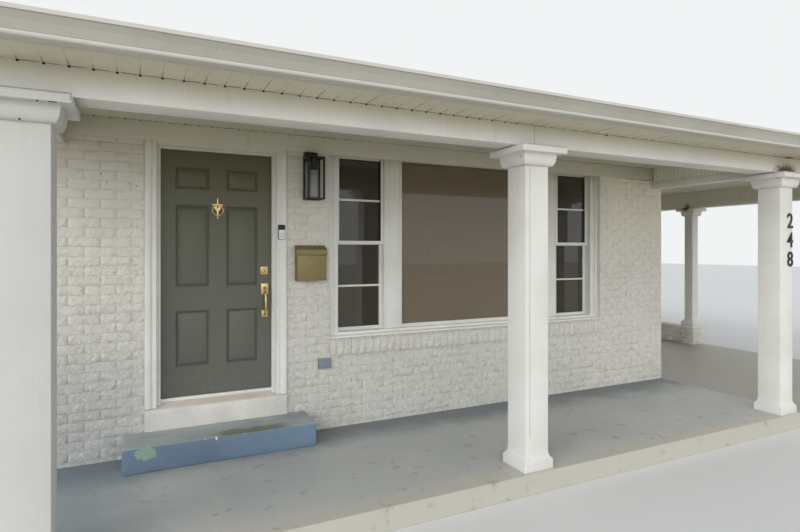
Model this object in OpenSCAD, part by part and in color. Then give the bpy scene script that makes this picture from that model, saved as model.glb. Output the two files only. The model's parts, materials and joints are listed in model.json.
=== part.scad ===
// Small brick bungalow with a two-bay front porch and a one-bay carport.
// X runs along the front, Y runs into the house and Z is up. The origin is at ground
// level, on the line of the front wall, behind the middle porch column.

/* [House] */
// Half of the width of the house
house_half = 3295; // [3280:5:3340]
// Depth of the house from the front wall to the back wall
house_d = 7200; // [6600:50:7600]
// Thickness of the brick walls
wall_t = 200; // [180:5:230]
// Height of the room floor above the ground
floor_z = 550; // [548:1:552]
// Height of the room ceiling above the ground
ceiling_z = 2850; // [2845:5:2870]

/* [Porch] */
// Distance between the centres of two porch columns
bay = 3124; // [3120:1:3128]
// Distance from the front wall to the front of the columns
porch_d = 1553; // [1500:1:1600]
// Height of the porch floor above the ground
porch_h = 150; // [140:1:160]
// Width of a porch column
col_w = 210; // [200:2:216]
// Underside of the porch beam above the ground
beam_z = 2526; // [2520:1:2532]
// Top of the porch beam, where the porch ceiling lies
beam_top_z = 2780; // [2776:1:2784]
// Thickness of the porch beam
beam_t = 200; // [180:5:210]

/* [Carport] */
// Width of a rear carport column
post_w = 150; // [140:2:160]
// Top of the low wall beside the carport
low_wall_z = 400; // [395:1:405]

/* [Roof and eaves] */
// Rise of the roof for a run of one
pitch = 0.333; // [0.3:0.001:0.35]
// Overhang of the eaves at the porch and the carport
eave_front = 320; // [300:5:340]
// Overhang of the eaves at the left wall and the back wall
eave_rear = 560; // [500:10:600]
// Width of the gutter
gutter_w = 100; // [90:1:110]

/* [Front door] */
// Width of the door leaf
leaf_w = 914; // [900:1:920]
// Height of the door leaf
leaf_h = 2032; // [2030:1:2036]
// Centre of the door, measured from the middle porch column
door_x = -2035; // [-2040:1:-2030]
// Underside of the door leaf above the ground
leaf_z = 564; // [562:1:566]
// Room left round the leaf
leaf_gap = 5; // [5:0.5:6]

/* [Front windows] */
// Centre of the window group, measured from the middle porch column
group_x = 584; // [580:1:590]
// Half of the width of the brick opening for the window group
group_half = 1663; // [1655:1:1670]
// Underside of the window frame above the ground
group_z = 975; // [970:1:980]

/* [Hidden] */
$fn = 48;

// Colours of the real finishes
brick_white = "#E6E3DA";
trim_white = "#E9E7E0";
soffit_cream = "#D2CDB9";
gutter_white = "#DAD7CC";
door_green = "#5F6455";
step_blue = "#6E8095";
slab_grey = "#A9ABAC";
shingle_grey = "#4A4A4B";
brass = "#B8995A";
aged_brass = "#7C7453";
iron_black = "#1D1D1F";
glass_tint = "#27302F";
timber_floor = "#8A6A4B";
plaster_white = "#DEDAD0";

// Lines of the plan
front_y = -porch_d;
beam_back_y = front_y + beam_t;
col_face = bay + col_w / 2;
carport_x = 2 * bay + col_w / 2;
slab_lip = 50;
header_t = 97;
slab_z = 100;
floor_t = 150;
wall_top_z = ceiling_z;
board_t = 12;

// Roof edge, given by the outer face of the fascia
fascia_t = 20;
fascia_z = 2665;
roof_z = 2785;
soffit_z = 2680;
edge_left = -house_half - eave_rear;
edge_right = carport_x + eave_front;
edge_front = front_y - eave_front;
edge_back = house_d + eave_rear;
gutter_low = 2668;
gutter_top = 2785;
gutter_t = 4;
roof_drip = 15;
roof_lip = 10;
roof_t = 70;

// Front door opening and its frame
door_open_half = 564;
jamb_t = 30;
reveal_back = 14;
frame_inner = leaf_w / 2 + leaf_gap;
leaf_y = 80;
leaf_t = 44;
leaf_top = leaf_z + leaf_h;
head_z = leaf_top + leaf_gap;
stop_overlap = 12;
sill_front_z = 500;
sill_nose = 20;
threshold_z = 558;
hinge_x = door_x - leaf_w / 2 - leaf_gap / 2;
hinge_y = leaf_y + leaf_t + 8;
hinge_r = 6;
hinge_h = 90;
hinge_zs = [leaf_z + 180, leaf_z + 970, leaf_top - 260];

// Six door panels: [centre from the leaf's middle, lowest, highest]
panel_w = 270;
panel_x = 200;
panel_rows = [[800, 1266], [1458, 2140], [2268, 2455]];
panel_groove = 16;
panel_depth = 9;

// Front window group, measured from group_x
group_head_z = 2674;
frame_y = 50;
frame_back_y = 195;
jamb_in = 1565;
mullion_out = 1082;
mullion_in = 896;
mullion_y = 92;
frame_sill_t = 30;
sash_w = 30;
sash_t = 34;
sash_upper_y = 102;
sash_lower_y = sash_upper_y + sash_t + 2;
meeting_z = 1835;
meeting_lap = 12;
muntin_w = 18;
picture_stop = 14;
picture_sill = 32;
glass_t = 6;

// Plain windows of the other walls: [centre along the wall, width]
side_sill_z = 1130;
side_head_z = 2560;
side_w = 1020;
left_windows = [1850, 5250];
back_windows = [-1700, 1500];
right_windows = [2300, 5400];

// Columns: abacus and crown moulding on top, block and moulding at the foot
abacus_h = 54;
abacus_out = 98;
abacus_bevel_h = 12;
abacus_bevel_out = 80;
crown_h = 88;
crown_low = 16;
crown_high = 45;

// Feet of the columns: [projection, height of the block, whole height]
porch_foot = [26, 70, 130];
post_foot = [40, 110, 172];

// Rear posts of the carport stand on low pedestals, with a wall between them
pedestal_w = 240;
pedestal_z = 381;
coping_h = 35;
post_ys = [front_y + bay + 136, 4407, house_d - pedestal_w / 2];

// Underside of the carport headers, a little below the porch beam
carport_header_z = 2512;

// Lantern: cage of bars round a candle
lantern_x = -1254;
lantern_y = -100;
lantern_half_w = 77;
lantern_half_d = 78;
lantern_low = 2208;
lantern_high = 2578;
lantern_bar = 13;
lantern_box_z = 2548;
lantern_box_h = 80;

// Letter box
mailbox_x = -1266;
mailbox_w = 266;
mailbox_h = 313;
mailbox_z = 1497;
mailbox_d = 82;

// A box given by its lowest and highest corners
module span(low, high) {
    translate(low) cube([for (i = [0 : 2]) high[i] - low[i]]);
}

// Extrude a profile drawn in Y and Z along X, from x0 to x1
module along_x(x0, x1) {
    translate([x0, 0, 0]) rotate([90, 0, 90]) linear_extrude(x1 - x0) children();
}

// Extrude a profile drawn in X and Z along Y, from y0 to y1
module along_y(y0, y1) {
    translate([0, y1, 0]) rotate([90, 0, 0]) linear_extrude(y1 - y0) children();
}

// One side of a mitred frame: the profile is drawn in depth (outwards) and height
module mitred_side(length, out) {
    intersection() {
        rotate([90, 0, 90]) translate([0, 0, -length / 2 - out]) linear_extrude(length + 2 * out)
            children();
        translate([0, 0, -5000]) linear_extrude(10000)
            polygon([[-length / 2 - out, -out], [length / 2 + out, -out],
                     [length / 2 - out, out], [-length / 2 + out, out]]);
    }
}

// A frame of one profile round a rectangle, with mitred corners
module mitred_frame(x0, y0, x1, y1, out) {
    translate([(x0 + x1) / 2, y0, 0]) mitred_side(x1 - x0, out) children();
    translate([(x0 + x1) / 2, y1, 0]) rotate(180) mitred_side(x1 - x0, out) children();
    translate([x0, (y0 + y1) / 2, 0]) rotate(-90) mitred_side(y1 - y0, out) children();
    translate([x1, (y0 + y1) / 2, 0]) rotate(90) mitred_side(y1 - y0, out) children();
}

// A raised field that stands on Y = 0 and narrows by inset on each side
module raised_field(w, h, d, inset) {
    intersection() {
        translate([0, 0, -h]) linear_extrude(2 * h)
            polygon([[-w / 2, 0], [w / 2, 0], [w / 2 - inset, -d], [-w / 2 + inset, -d]]);
        rotate([90, 0, 90]) translate([0, 0, -w]) linear_extrude(2 * w)
            polygon([[0, -h / 2], [0, h / 2], [-d, h / 2 - inset], [-d, -h / 2 + inset]]);
    }
}

// Concrete floor of the porch
module porch_slab() {
    color(slab_grey)
        span([-col_face - slab_lip, front_y - slab_lip, 0], [house_half, 0, porch_h]);
}

// Masonry step below the front door
module entry_step() {
    color(step_blue) span([door_x + 6 - 716, -369, porch_h], [door_x + 6 + 716, 0, porch_h + 187]);
}

// Concrete floor of the carport
module carport_slab() {
    color(slab_grey)
        span([house_half, front_y - slab_lip, 0], [carport_x + slab_lip, house_d, slab_z]);
}

// Raised timber floor of the house
module house_floor() {
    color(timber_floor)
        span([-house_half + wall_t, wall_t, floor_z - floor_t],
             [house_half - wall_t, house_d - wall_t, floor_z]);
}

// A plain stretch of the front wall
module front_brick(x0, x1, z0, z1) {
    color(brick_white) span([x0, 0, z0], [x1, wall_t, z1]);
}

module front_wall_left() {
    front_brick(-house_half, door_x - door_open_half, 0, wall_top_z);
}

module front_wall_under_door() {
    y0 = -sill_nose;
    color(brick_white) union() {
        span([door_x - door_open_half, 0, 0], [door_x + door_open_half, wall_t, floor_z - floor_t]);
        // The sill course sheds rain over the step
        along_x(door_x - door_open_half, door_x + door_open_half)
            polygon([[y0, sill_front_z - 60], [y0, sill_front_z], [leaf_y - leaf_gap, floor_z - 4],
                     [wall_t, floor_z - 4], [wall_t, floor_z - floor_t], [0, floor_z - floor_t],
                     [0, sill_front_z - 60]]);
    }
}

module front_wall_over_door() {
    front_brick(door_x - door_open_half, door_x + door_open_half, head_z + jamb_t, wall_top_z);
}

module front_wall_middle() {
    front_brick(door_x + door_open_half, group_x - group_half, 0, wall_top_z);
}

module front_wall_under_window() {
    front_brick(group_x - group_half, group_x + group_half, 0, group_z - 168);
}

module front_wall_over_window() {
    front_brick(group_x - group_half, group_x + group_half, group_head_z, wall_top_z);
}

module front_wall_right() {
    front_brick(group_x + group_half, house_half, 0, wall_top_z);
}

// A brick wall along Y with openings for the plain windows
module side_wall(x0, windows) {
    difference() {
        span([x0, wall_t, 0], [x0 + wall_t, house_d - wall_t, wall_top_z]);
        for (y = windows)
            span([x0 - 1, y - side_w / 2, side_sill_z], [x0 + wall_t + 1, y + side_w / 2, side_head_z]);
    }
}

module left_wall() {
    color(brick_white) side_wall(-house_half, left_windows);
}

module right_wall() {
    color(brick_white) side_wall(house_half - wall_t, right_windows);
}

module back_wall() {
    color(brick_white) difference() {
        span([-house_half, house_d - wall_t, 0], [house_half, house_d, wall_top_z]);
        for (x = back_windows)
            span([x - side_w / 2, house_d - wall_t - 1, side_sill_z],
                 [x + side_w / 2, house_d + 1, side_head_z]);
    }
}

// Sloping course of bricks on edge below the window group
module window_sill_bricks() {
    sill_low = group_z - 168;
    color(brick_white) along_x(group_x - group_half, group_x + group_half)
        polygon([[-25, sill_low], [wall_t, sill_low], [wall_t, group_z], [75, group_z], [-25, group_z - 38]]);
}

// Height of the sloping sill under the front door
function sill_top(y) = let (run = leaf_y - leaf_gap + sill_nose)
    sill_front_z + (floor_z - 4 - sill_front_z) * (y + sill_nose) / run;

// One upright strip of the door casing, with its foot cut to the slope of the sill
module casing_leg(x0, x1, y0, y1) {
    along_x(min(x0, x1), max(x0, x1))
        polygon([[y0, sill_top(y0)], [y1, sill_top(y1)], [y1, head_z + jamb_t], [y0, head_z + jamb_t]]);
}

// Jambs, head, stops, casing and threshold of the front door
module door_frame() {
    stop_in = leaf_w / 2 - stop_overlap;
    stop_top = leaf_top - stop_overlap;
    stop_back = leaf_y - leaf_gap;
    deep = leaf_y + leaf_t + 1;
    color(trim_white) translate([door_x, 0, 0]) union() {
        for (s = [-1, 1]) {
            // Jamb, which steps back behind the leaf to clear the hinges
            span([min(s * frame_inner, s * door_open_half), stop_back, floor_z - 4],
                 [max(s * frame_inner, s * door_open_half), deep, head_z + jamb_t]);
            span([min(s * (frame_inner + reveal_back), s * door_open_half), deep, floor_z - 4],
                 [max(s * (frame_inner + reveal_back), s * door_open_half), wall_t, head_z + jamb_t]);
            // Stop, with the outer moulding of the casing in front of it
            casing_leg(s * stop_in, s * door_open_half, 30, stop_back);
            casing_leg(s * (stop_in + 30), s * door_open_half, 0, 30);
        }
        span([-door_open_half, stop_back, head_z], [door_open_half, wall_t, head_z + jamb_t]);
        span([-stop_in - 30, 30, stop_top], [stop_in + 30, stop_back, head_z + jamb_t]);
        span([-stop_in - 30, 0, stop_top + 30], [stop_in + 30, 30, head_z + jamb_t]);
        // Threshold under the leaf
        span([-frame_inner, 60, floor_z - 4], [frame_inner, wall_t, threshold_z]);
    }
}

// Six-panel leaf
module front_door() {
    color(door_green) difference() {
        span([door_x - leaf_w / 2, leaf_y, leaf_z], [door_x + leaf_w / 2, leaf_y + leaf_t, leaf_top]);
        for (s = [-1, 1], row = panel_rows, face = [0, 1])
            translate([door_x + s * panel_x, leaf_y + face * leaf_t, (row[0] + row[1]) / 2])
                rotate(face * 180) panel_groove(panel_w, row[1] - row[0]);
    }
}

// The sloping groove round a raised panel, cut into the face at Y = 0
module panel_groove(w, h) {
    difference() {
        span([-w / 2, -1, -h / 2], [w / 2, panel_depth, h / 2]);
        translate([0, panel_depth, 0])
            raised_field(w - 2 * panel_groove, h - 2 * panel_groove, panel_depth + 2, 22);
    }
}

// Butt hinges on the room side of the leaf
module door_hinges() {
    color(brass) for (z = hinge_zs) union() {
        translate([hinge_x, hinge_y, z]) cylinder(h = hinge_h, r = hinge_r);
        span([hinge_x, leaf_y + leaf_t, z], [hinge_x + 34, leaf_y + leaf_t + 3, z + hinge_h]);
        span([hinge_x - 2, leaf_y + leaf_t, z], [hinge_x + 2, hinge_y, z + hinge_h]);
    }
}

// Grip handle outside, with a knob on the room side
module door_handle() {
    x = door_x + 388;
    z_top = 1474;
    z_low = 1181;
    color(brass) union() {
        span([x - 32, leaf_y - 12, z_top - 96], [x + 32, leaf_y, z_top]);
        span([x - 22, leaf_y - 8, z_low], [x + 22, leaf_y, z_low + 50]);
        span([x - 8, leaf_y - 62, z_top - 84], [x + 8, leaf_y - 12, z_top - 66]);
        span([x - 8, leaf_y - 62, z_low + 16], [x + 8, leaf_y - 8, z_low + 34]);
        span([x - 9, leaf_y - 66, z_low + 8], [x + 9, leaf_y - 50, z_top - 60]);
        translate([x, leaf_y + leaf_t, z_top - 48]) rotate([-90, 0, 0]) cylinder(h = 10, r = 32);
        translate([x, leaf_y + leaf_t, z_top - 48]) rotate([-90, 0, 0]) cylinder(h = 30, r = 12);
        translate([x, leaf_y + leaf_t + 45, z_top - 48]) sphere(r = 26);
    }
}

// Deadbolt: square outer plate with its cylinder, and a thumb turn inside
module deadbolt() {
    x = door_x + 384;
    z = 1586;
    color(brass) union() {
        span([x - 32, leaf_y - 10, z - 34], [x + 32, leaf_y, z + 34]);
        translate([x, leaf_y - 20, z]) rotate([-90, 0, 0]) cylinder(h = 12, r = 20);
        translate([x, leaf_y + leaf_t, z]) rotate([-90, 0, 0]) cylinder(h = 12, r = 30);
        span([x - 5, leaf_y + leaf_t, z - 18], [x + 5, leaf_y + leaf_t + 34, z + 18]);
    }
}

// Back plate of the knocker, pointed up and down, with two ears that hold the ring
knocker_x = door_x - 4;
knocker_z = 2140;
knocker_pin_y = leaf_y - 20;
knocker_ear = 37;
module knocker_plate() {
    color(brass) translate([knocker_x, leaf_y, knocker_z]) union() {
        rotate([90, 0, 0]) linear_extrude(6)
            polygon([[-42, 10], [42, 10], [30, -18], [0, -52], [-30, -18]]);
        rotate([90, 0, 0]) linear_extrude(6) polygon([[-8, 9], [8, 9], [2, 62], [-2, 62]]);
        rotate([90, 0, 0]) linear_extrude(6) polygon([[-7, -44], [7, -44], [2, -112], [-2, -112]]);
        for (s = [-1, 1]) difference() {
            span([s * knocker_ear - 3, -25, -5], [s * knocker_ear + 3, 0, 7]);
            translate([s * knocker_ear - 4, -20, 1]) rotate([0, 90, 0]) cylinder(h = 8, r = 3.2);
        }
    }
}

// Ring of the knocker, which hangs from a pin through the two ears
module knocker_ring() {
    color(brass) translate([knocker_x, knocker_pin_y, knocker_z + 1]) union() {
        translate([-knocker_ear - 4, 0, 0]) rotate([0, 90, 0]) cylinder(h = 2 * knocker_ear + 8, r = 3);
        translate([0, 0, -42]) rotate([90, 0, 0]) intersection() {
            rotate_extrude() translate([44, 0]) circle(r = 4);
            translate([-60, -60, -10]) cube([120, 91, 20]);
        }
        for (s = [-1, 1]) translate([s * 27, 0, -15]) cylinder(h = 15, r = 3.5);
    }
}

// A closed rectangular frame drawn in X and Z, from y0 to y1
module ring_frame(x0, x1, z0, z1, t, y0, y1) {
    difference() {
        span([x0, y0, z0], [x1, y1, z1]);
        span([x0 + t, y0 - 1, z0 + t], [x1 - t, y1 + 1, z1 - t]);
    }
}

// Height of the sloping top of the bricks under the window group
function brick_slope(y) = group_z - 38 + 0.38 * (y + 25);

// Outer frame, sill and mullions of the front window group
module front_window_frame() {
    color(trim_white) translate([group_x, 0, 0]) union() {
        span([-group_half, frame_y, group_z], [group_half, frame_back_y, group_z + frame_sill_t]);
        // Sloping ledge that sheds water onto the bricks
        along_x(-group_half, group_half)
            polygon([[14, brick_slope(14)], [frame_y + 1, brick_slope(frame_y + 1)],
                     [frame_y + 1, group_z + 8], [14, group_z - 3]]);
        span([-group_half, frame_y, group_head_z - 19], [group_half, frame_back_y, group_head_z]);
        for (s = [-1, 1]) {
            span([min(s * group_half, s * jamb_in), frame_y, group_z],
                 [max(s * group_half, s * jamb_in), frame_back_y, group_head_z]);
            span([min(s * mullion_out, s * mullion_in), mullion_y, group_z],
                 [max(s * mullion_out, s * mullion_in), frame_back_y, group_head_z]);
        }
    }
}

// Sash of a double-hung window with one bar across it
module sash(x0, x1, z0, z1, y) {
    ring_frame(x0, x1, z0, z1, sash_w, y, y + sash_t);
    bar = (z0 + z1) / 2;
    span([x0 + sash_w, y + 6, bar - muntin_w / 2], [x1 - sash_w, y + sash_t - 6, bar + muntin_w / 2]);
}

// Two double-hung pairs of sashes and the stop round the picture window
module front_window_sashes() {
    low = group_z + frame_sill_t;
    high = group_head_z - 19;
    color(trim_white) translate([group_x, 0, 0]) {
        for (s = [-1, 1]) union() {
            x0 = min(s * mullion_out, s * jamb_in);
            x1 = max(s * mullion_out, s * jamb_in);
            sash(x0, x1, meeting_z - meeting_lap, high, sash_upper_y);
            sash(x0, x1, low, meeting_z + meeting_lap, sash_lower_y - 2);
        }
        difference() {
            span([-mullion_in, sash_upper_y, low], [mullion_in, sash_upper_y + 50, high]);
            span([-mullion_in + picture_stop, sash_upper_y - 1, low + picture_sill],
                 [mullion_in - picture_stop, sash_upper_y + 51, high - picture_stop]);
        }
    }
}

// Panes of the front window group
module front_window_glass() {
    low = group_z + frame_sill_t;
    high = group_head_z - 19;
    color(glass_tint, 0.4) translate([group_x, 0, 0]) {
        for (s = [-1, 1]) {
            x0 = min(s * mullion_out, s * jamb_in) + sash_w;
            x1 = max(s * mullion_out, s * jamb_in) - sash_w;
            for (z = [[low + sash_w, meeting_z + meeting_lap - sash_w, sash_lower_y - 2],
                      [meeting_z - meeting_lap + sash_w, high - sash_w, sash_upper_y]]) {
                middle = (z[0] + z[1]) / 2;
                span([x0, z[2] + 14, z[0]], [x1, z[2] + 14 + glass_t, middle - muntin_w / 2]);
                span([x0, z[2] + 14, middle + muntin_w / 2], [x1, z[2] + 14 + glass_t, z[1]]);
            }
        }
        span([-mullion_in + picture_stop, sash_upper_y + 20, low + picture_sill],
             [mullion_in - picture_stop, sash_upper_y + 20 + glass_t, high - picture_stop]);
    }
}

// Place something drawn for the front wall, centred on X = 0, in each plain opening
module at_side_windows() {
    for (y = left_windows) translate([-house_half, y, 0]) rotate(-90) children();
    for (y = right_windows) translate([house_half, y, 0]) rotate(90) children();
    for (x = back_windows) translate([x, house_d, 0]) rotate(180) children();
}

// Frames and sashes of the plain windows
module side_window_frames() {
    half = side_w / 2;
    middle = (side_sill_z + side_head_z) / 2;
    color(trim_white) at_side_windows() union() {
        ring_frame(-half, half, side_sill_z, side_head_z, 50, frame_y, frame_back_y);
        sash(-half + 50, half - 50, middle - 20, side_head_z - 50, sash_upper_y);
        sash(-half + 50, half - 50, side_sill_z + 50, middle + 20, sash_lower_y - 2);
        span([-half, -25, side_sill_z], [half, frame_y, side_sill_z + 30]);
    }
}

// Panes of the plain windows
module side_window_glass() {
    half = side_w / 2 - 50 - sash_w;
    middle = (side_sill_z + side_head_z) / 2;
    color(glass_tint, 0.4) at_side_windows()
        for (z = [[side_sill_z + 50 + sash_w, middle + 20 - sash_w, sash_lower_y - 2],
                  [middle - 20 + sash_w, side_head_z - 50 - sash_w, sash_upper_y]]) {
            bar = (z[0] + z[1]) / 2;
            span([-half, z[2] + 14, z[0]], [half, z[2] + 14 + glass_t, bar - muntin_w / 2]);
            span([-half, z[2] + 14, bar + muntin_w / 2], [half, z[2] + 14 + glass_t, z[1]]);
        }
}

// Board on the wall just below the porch ceiling
module frieze_board() {
    color(trim_white) span([-col_face + header_t, -20, 2631], [col_face - header_t, 0, beam_top_z]);
}

// Boarded ceiling of the porch
module porch_ceiling() {
    color(soffit_cream) span([-col_face, front_y, beam_top_z], [col_face, 0, beam_top_z + board_t]);
}

// Beam on the columns, along the porch and the carport
module porch_beam() {
    color(trim_white) span([-col_face, front_y, beam_z], [carport_x, beam_back_y, beam_top_z]);
}

// Headers that run back from the beam, and the one across the back of the carport
module porch_headers() {
    color(trim_white) {
        span([-col_face, beam_back_y, beam_z + 35], [-col_face + header_t, 0, beam_top_z]);
        span([col_face - header_t, beam_back_y, beam_z], [col_face, 0, beam_top_z]);
        // The first stretch lies on the abacus of the front column
        union() {
            span([carport_x - col_w, beam_back_y, beam_z], [carport_x, house_d, beam_top_z]);
            span([carport_x - col_w, front_y + col_w + abacus_out, carport_header_z],
                 [carport_x, house_d, beam_z + 1]);
        }
        span([house_half, house_d - col_w, carport_header_z],
             [carport_x - col_w - 1, house_d, beam_top_z]);
    }
}

// Half outline of a column from z0 to z1: [distance from the centre, height]
function column_side(half, z0, z1, foot) = let (crown = z1 - abacus_h - crown_h) [
    [half + foot[0], z0], [half + foot[0], z0 + foot[1]], [half + foot[0] - 6, z0 + foot[1]],
    for (a = [0 : 30 : 90])
        [half + (foot[0] - 6) * (1 - sin(a)), z0 + foot[1] + 8 + (foot[2] - foot[1] - 8) * (1 - cos(a))],
    [half, crown],
    for (a = [0 : 15 : 90])
        [half + crown_low + (crown_high - crown_low) * sin(a), crown + crown_h * (1 - cos(a))],
    [half + abacus_out, z1 - abacus_h], [half + abacus_out, z1 - abacus_bevel_h],
    [half + abacus_bevel_out, z1]
];

// Square column with a moulded foot, a crown moulding and a square abacus
module column(half, z0, z1, foot) {
    side = column_side(half, z0, z1, foot);
    outline = concat(side, [for (i = [len(side) - 1 : -1 : 0]) [-side[i][0], side[i][1]]]);
    intersection() {
        rotate([90, 0, 0]) translate([0, 0, -1000]) linear_extrude(2000) polygon(outline);
        rotate([90, 0, 90]) translate([0, 0, -1000]) linear_extrude(2000) polygon(outline);
    }
}

module porch_columns() {
    color(trim_white) for (i = [-1 : 1])
        translate([i * bay, front_y + col_w / 2, 0]) column(col_w / 2, porch_h, beam_z, porch_foot);
}

module carport_columns() {
    color(trim_white) {
        translate([2 * bay, front_y + col_w / 2, 0]) column(col_w / 2, slab_z, beam_z, porch_foot);
        for (y = post_ys)
            translate([2 * bay, y, 0]) column(post_w / 2, pedestal_z, carport_header_z, post_foot);
    }
}

// Low brick wall with a projecting coping, and the pedestals of the rear columns
module carport_low_wall() {
    half = pedestal_w / 2;
    color(brick_white) translate([2 * bay, 0, 0]) union() {
        for (y = post_ys) span([-half, y - half, slab_z], [half, y + half, pedestal_z]);
        for (i = [0, 1]) {
            y0 = post_ys[i] + half;
            y1 = post_ys[i + 1] - half;
            span([-95, y0, slab_z], [95, y1, low_wall_z - coping_h]);
            span([-115, y0, low_wall_z - coping_h], [115, y1, low_wall_z]);
        }
    }
}

module carport_ceiling() {
    color(soffit_cream) union() {
        span([col_face, front_y, beam_top_z], [carport_x, 0, beam_top_z + board_t]);
        span([house_half, 0, beam_top_z], [carport_x, house_d, beam_top_z + board_t]);
    }
}

module house_ceiling() {
    color(plaster_white) span([-house_half, 0, ceiling_z], [house_half, house_d, ceiling_z + 40]);
}

// Boarded underside of the eaves
module eave_soffit() {
    color(soffit_cream) translate([0, 0, soffit_z]) linear_extrude(10) difference() {
        translate([edge_left + fascia_t, edge_front + fascia_t])
            square([edge_right - edge_left - 2 * fascia_t, edge_back - edge_front - 2 * fascia_t]);
        polygon([[-col_face, front_y], [carport_x, front_y], [carport_x, house_d],
                 [-house_half, house_d], [-house_half, 0], [-col_face, 0]]);
    }
}

module fascia() {
    color(gutter_white) difference() {
        span([edge_left, edge_front, fascia_z], [edge_right, edge_back, roof_z]);
        span([edge_left + fascia_t, edge_front + fascia_t, fascia_z - 1],
             [edge_right - fascia_t, edge_back - fascia_t, roof_z + 1]);
    }
}

// Gutter profile with a bead at the foot and a rolled rim: distance from the fascia and height
module gutter_profile() {
    low = gutter_low;
    bead = 12;
    difference() {
        polygon([[0, low], [-56, low],
            for (a = [0 : 30 : 150]) [-56 - bead * sin(a), low + bead * (1 - cos(a))],
            [-63, low + 30], [-76, low + 66], [-92, low + 94], [-92, low + 96],
            [-gutter_w, low + 98], [-gutter_w, gutter_top], [-gutter_w + 12, gutter_top],
            [-gutter_w + 12, gutter_top - 3], [0, gutter_top - 3]]);
        polygon([[-gutter_t, low + gutter_t], [-54, low + gutter_t], [-60, low + 12], [-57, low + 24],
            [-59, low + 32], [-72, low + 68], [-88, low + 96], [-88, gutter_top + 1],
            [-gutter_t, gutter_top + 1]]);
    }
}

module gutter() {
    color(gutter_white)
        mitred_frame(edge_left, edge_front, edge_right, edge_back, gutter_w) gutter_profile();
}

// Rain pipes on the back wall, which lean out under the eave to the gutter
module downspouts() {
    out = edge_back + 4;
    color(gutter_white) for (x = [-house_half + 120, house_half - 120])
        along_x(x - 38, x + 38)
            polygon([[house_d, 60], [house_d + 58, 60], [house_d + 58, 2395], [out + 58, 2610],
                     [out + 58, gutter_low], [out, gutter_low], [out, 2646], [house_d, 2431]]);
}

// Hipped solid above the roof edge, raised by lift
module hip(lift, inset) {
    x0 = edge_left - roof_drip + inset;
    x1 = edge_right + roof_drip - inset;
    y0 = edge_front - roof_drip + inset;
    y1 = edge_back + roof_drip - inset;
    base = roof_z + lift;
    eave = roof_z + roof_lip + lift + inset * pitch;
    rise_x = eave + (x1 - x0) / 2 * pitch;
    rise_y = eave + (y1 - y0) / 2 * pitch;
    intersection() {
        along_x(x0, x1)
            polygon([[y0, base], [y1, base], [y1, eave], [(y0 + y1) / 2, rise_y], [y0, eave]]);
        along_y(y0, y1)
            polygon([[x0, base], [x1, base], [x1, eave], [(x0 + x1) / 2, rise_x], [x0, eave]]);
    }
}

// Shingled hip roof with its boards, hollow over the ceilings
module roof() {
    color(shingle_grey) difference() {
        hip(0, 0);
        hip(-roof_t, roof_drip + fascia_t + 100);
    }
}

// Wall lantern: box on the wall, cage of bars with a flat top, and the lamp holder
module wall_lantern() {
    w = lantern_half_w;
    d = lantern_half_d;
    bar = lantern_bar;
    low = lantern_low + 12;
    high = lantern_high - 12;
    color(iron_black) translate([lantern_x, 0, 0]) union() {
        span([-68, -62, lantern_box_z], [44, 0, lantern_box_z + lantern_box_h]);
        translate([0, lantern_y, 0]) {
            difference() {
                span([-w, -d, lantern_low], [w, d, lantern_high]);
                span([-w - 1, -d + bar, low], [w + 1, d - bar, high]);
                span([-w + bar, -d - 1, low], [w - bar, d + 1, high]);
                span([-w + bar, -d + bar, lantern_low - 1], [w - bar, d - bar, low + 1]);
            }
            translate([0, 0, 2470]) cylinder(h = 102, r = 26);
        }
    }
}

// Four panes set in the cage of the lantern; the back one stops below the box
module lantern_glass() {
    w = lantern_half_w;
    d = lantern_half_d;
    low = lantern_low + 12;
    high = lantern_high - 12;
    color("#DDE3E3", 0.3) translate([lantern_x, lantern_y, 0]) for (s = [-1, 1]) {
        span([s * (w - 6) - 1.5, -d + lantern_bar, low], [s * (w - 6) + 1.5, d - lantern_bar, high]);
        span([-w + lantern_bar, s * (d - 6) - 1.5, low],
             [w - lantern_bar, s * (d - 6) + 1.5, s > 0 ? lantern_box_z - 1 : high]);
    }
}

// Letter box with an open top, fixed to the wall
module mailbox() {
    half = mailbox_w / 2;
    top = mailbox_z + mailbox_h - 20;
    color(aged_brass) translate([mailbox_x, 0, 0]) difference() {
        along_x(-half, half)
            polygon([[0, mailbox_z], [0, top], [-mailbox_d, top - 34], [-mailbox_d, mailbox_z]]);
        span([-half + 3, -mailbox_d + 3, mailbox_z + 3], [half - 3, -3, top + 1]);
    }
}

// Sloping lid of the letter box, hinged at the wall
lid_axis_y = -14;
lid_axis_z = mailbox_z + mailbox_h - 8;
module mailbox_lid() {
    half = mailbox_w / 2 + 5;
    drop = 34 * (mailbox_d + 9 + lid_axis_y) / mailbox_d;
    z = lid_axis_z - 5;
    y1 = -mailbox_d - 9;
    color(aged_brass) translate([mailbox_x, 0, 0]) union() {
        along_x(-half, half)
            polygon([[lid_axis_y, z], [lid_axis_y, z + 4], [y1, z + 4 - drop],
                     [y1, z - drop - 44], [y1 + 3, z - drop - 44], [y1 + 3, z - drop]]);
        translate([-half, lid_axis_y, lid_axis_z]) rotate([0, 90, 0]) cylinder(h = 2 * half, r = 6);
    }
}

// Tall doorbell with a round button
module doorbell() {
    x = -1519;
    color(iron_black) union() {
        span([x - 31, -22, 1855], [x + 31, 0, 1985]);
        translate([x, -26, 1893]) rotate([-90, 0, 0]) cylinder(h = 5, r = 14);
    }
}

// Weatherproof cover of a wall socket, painted blue
module outlet_cover() {
    color(step_blue) span([-1190, -30, 697], [-1068, 0, 789]);
}

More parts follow.
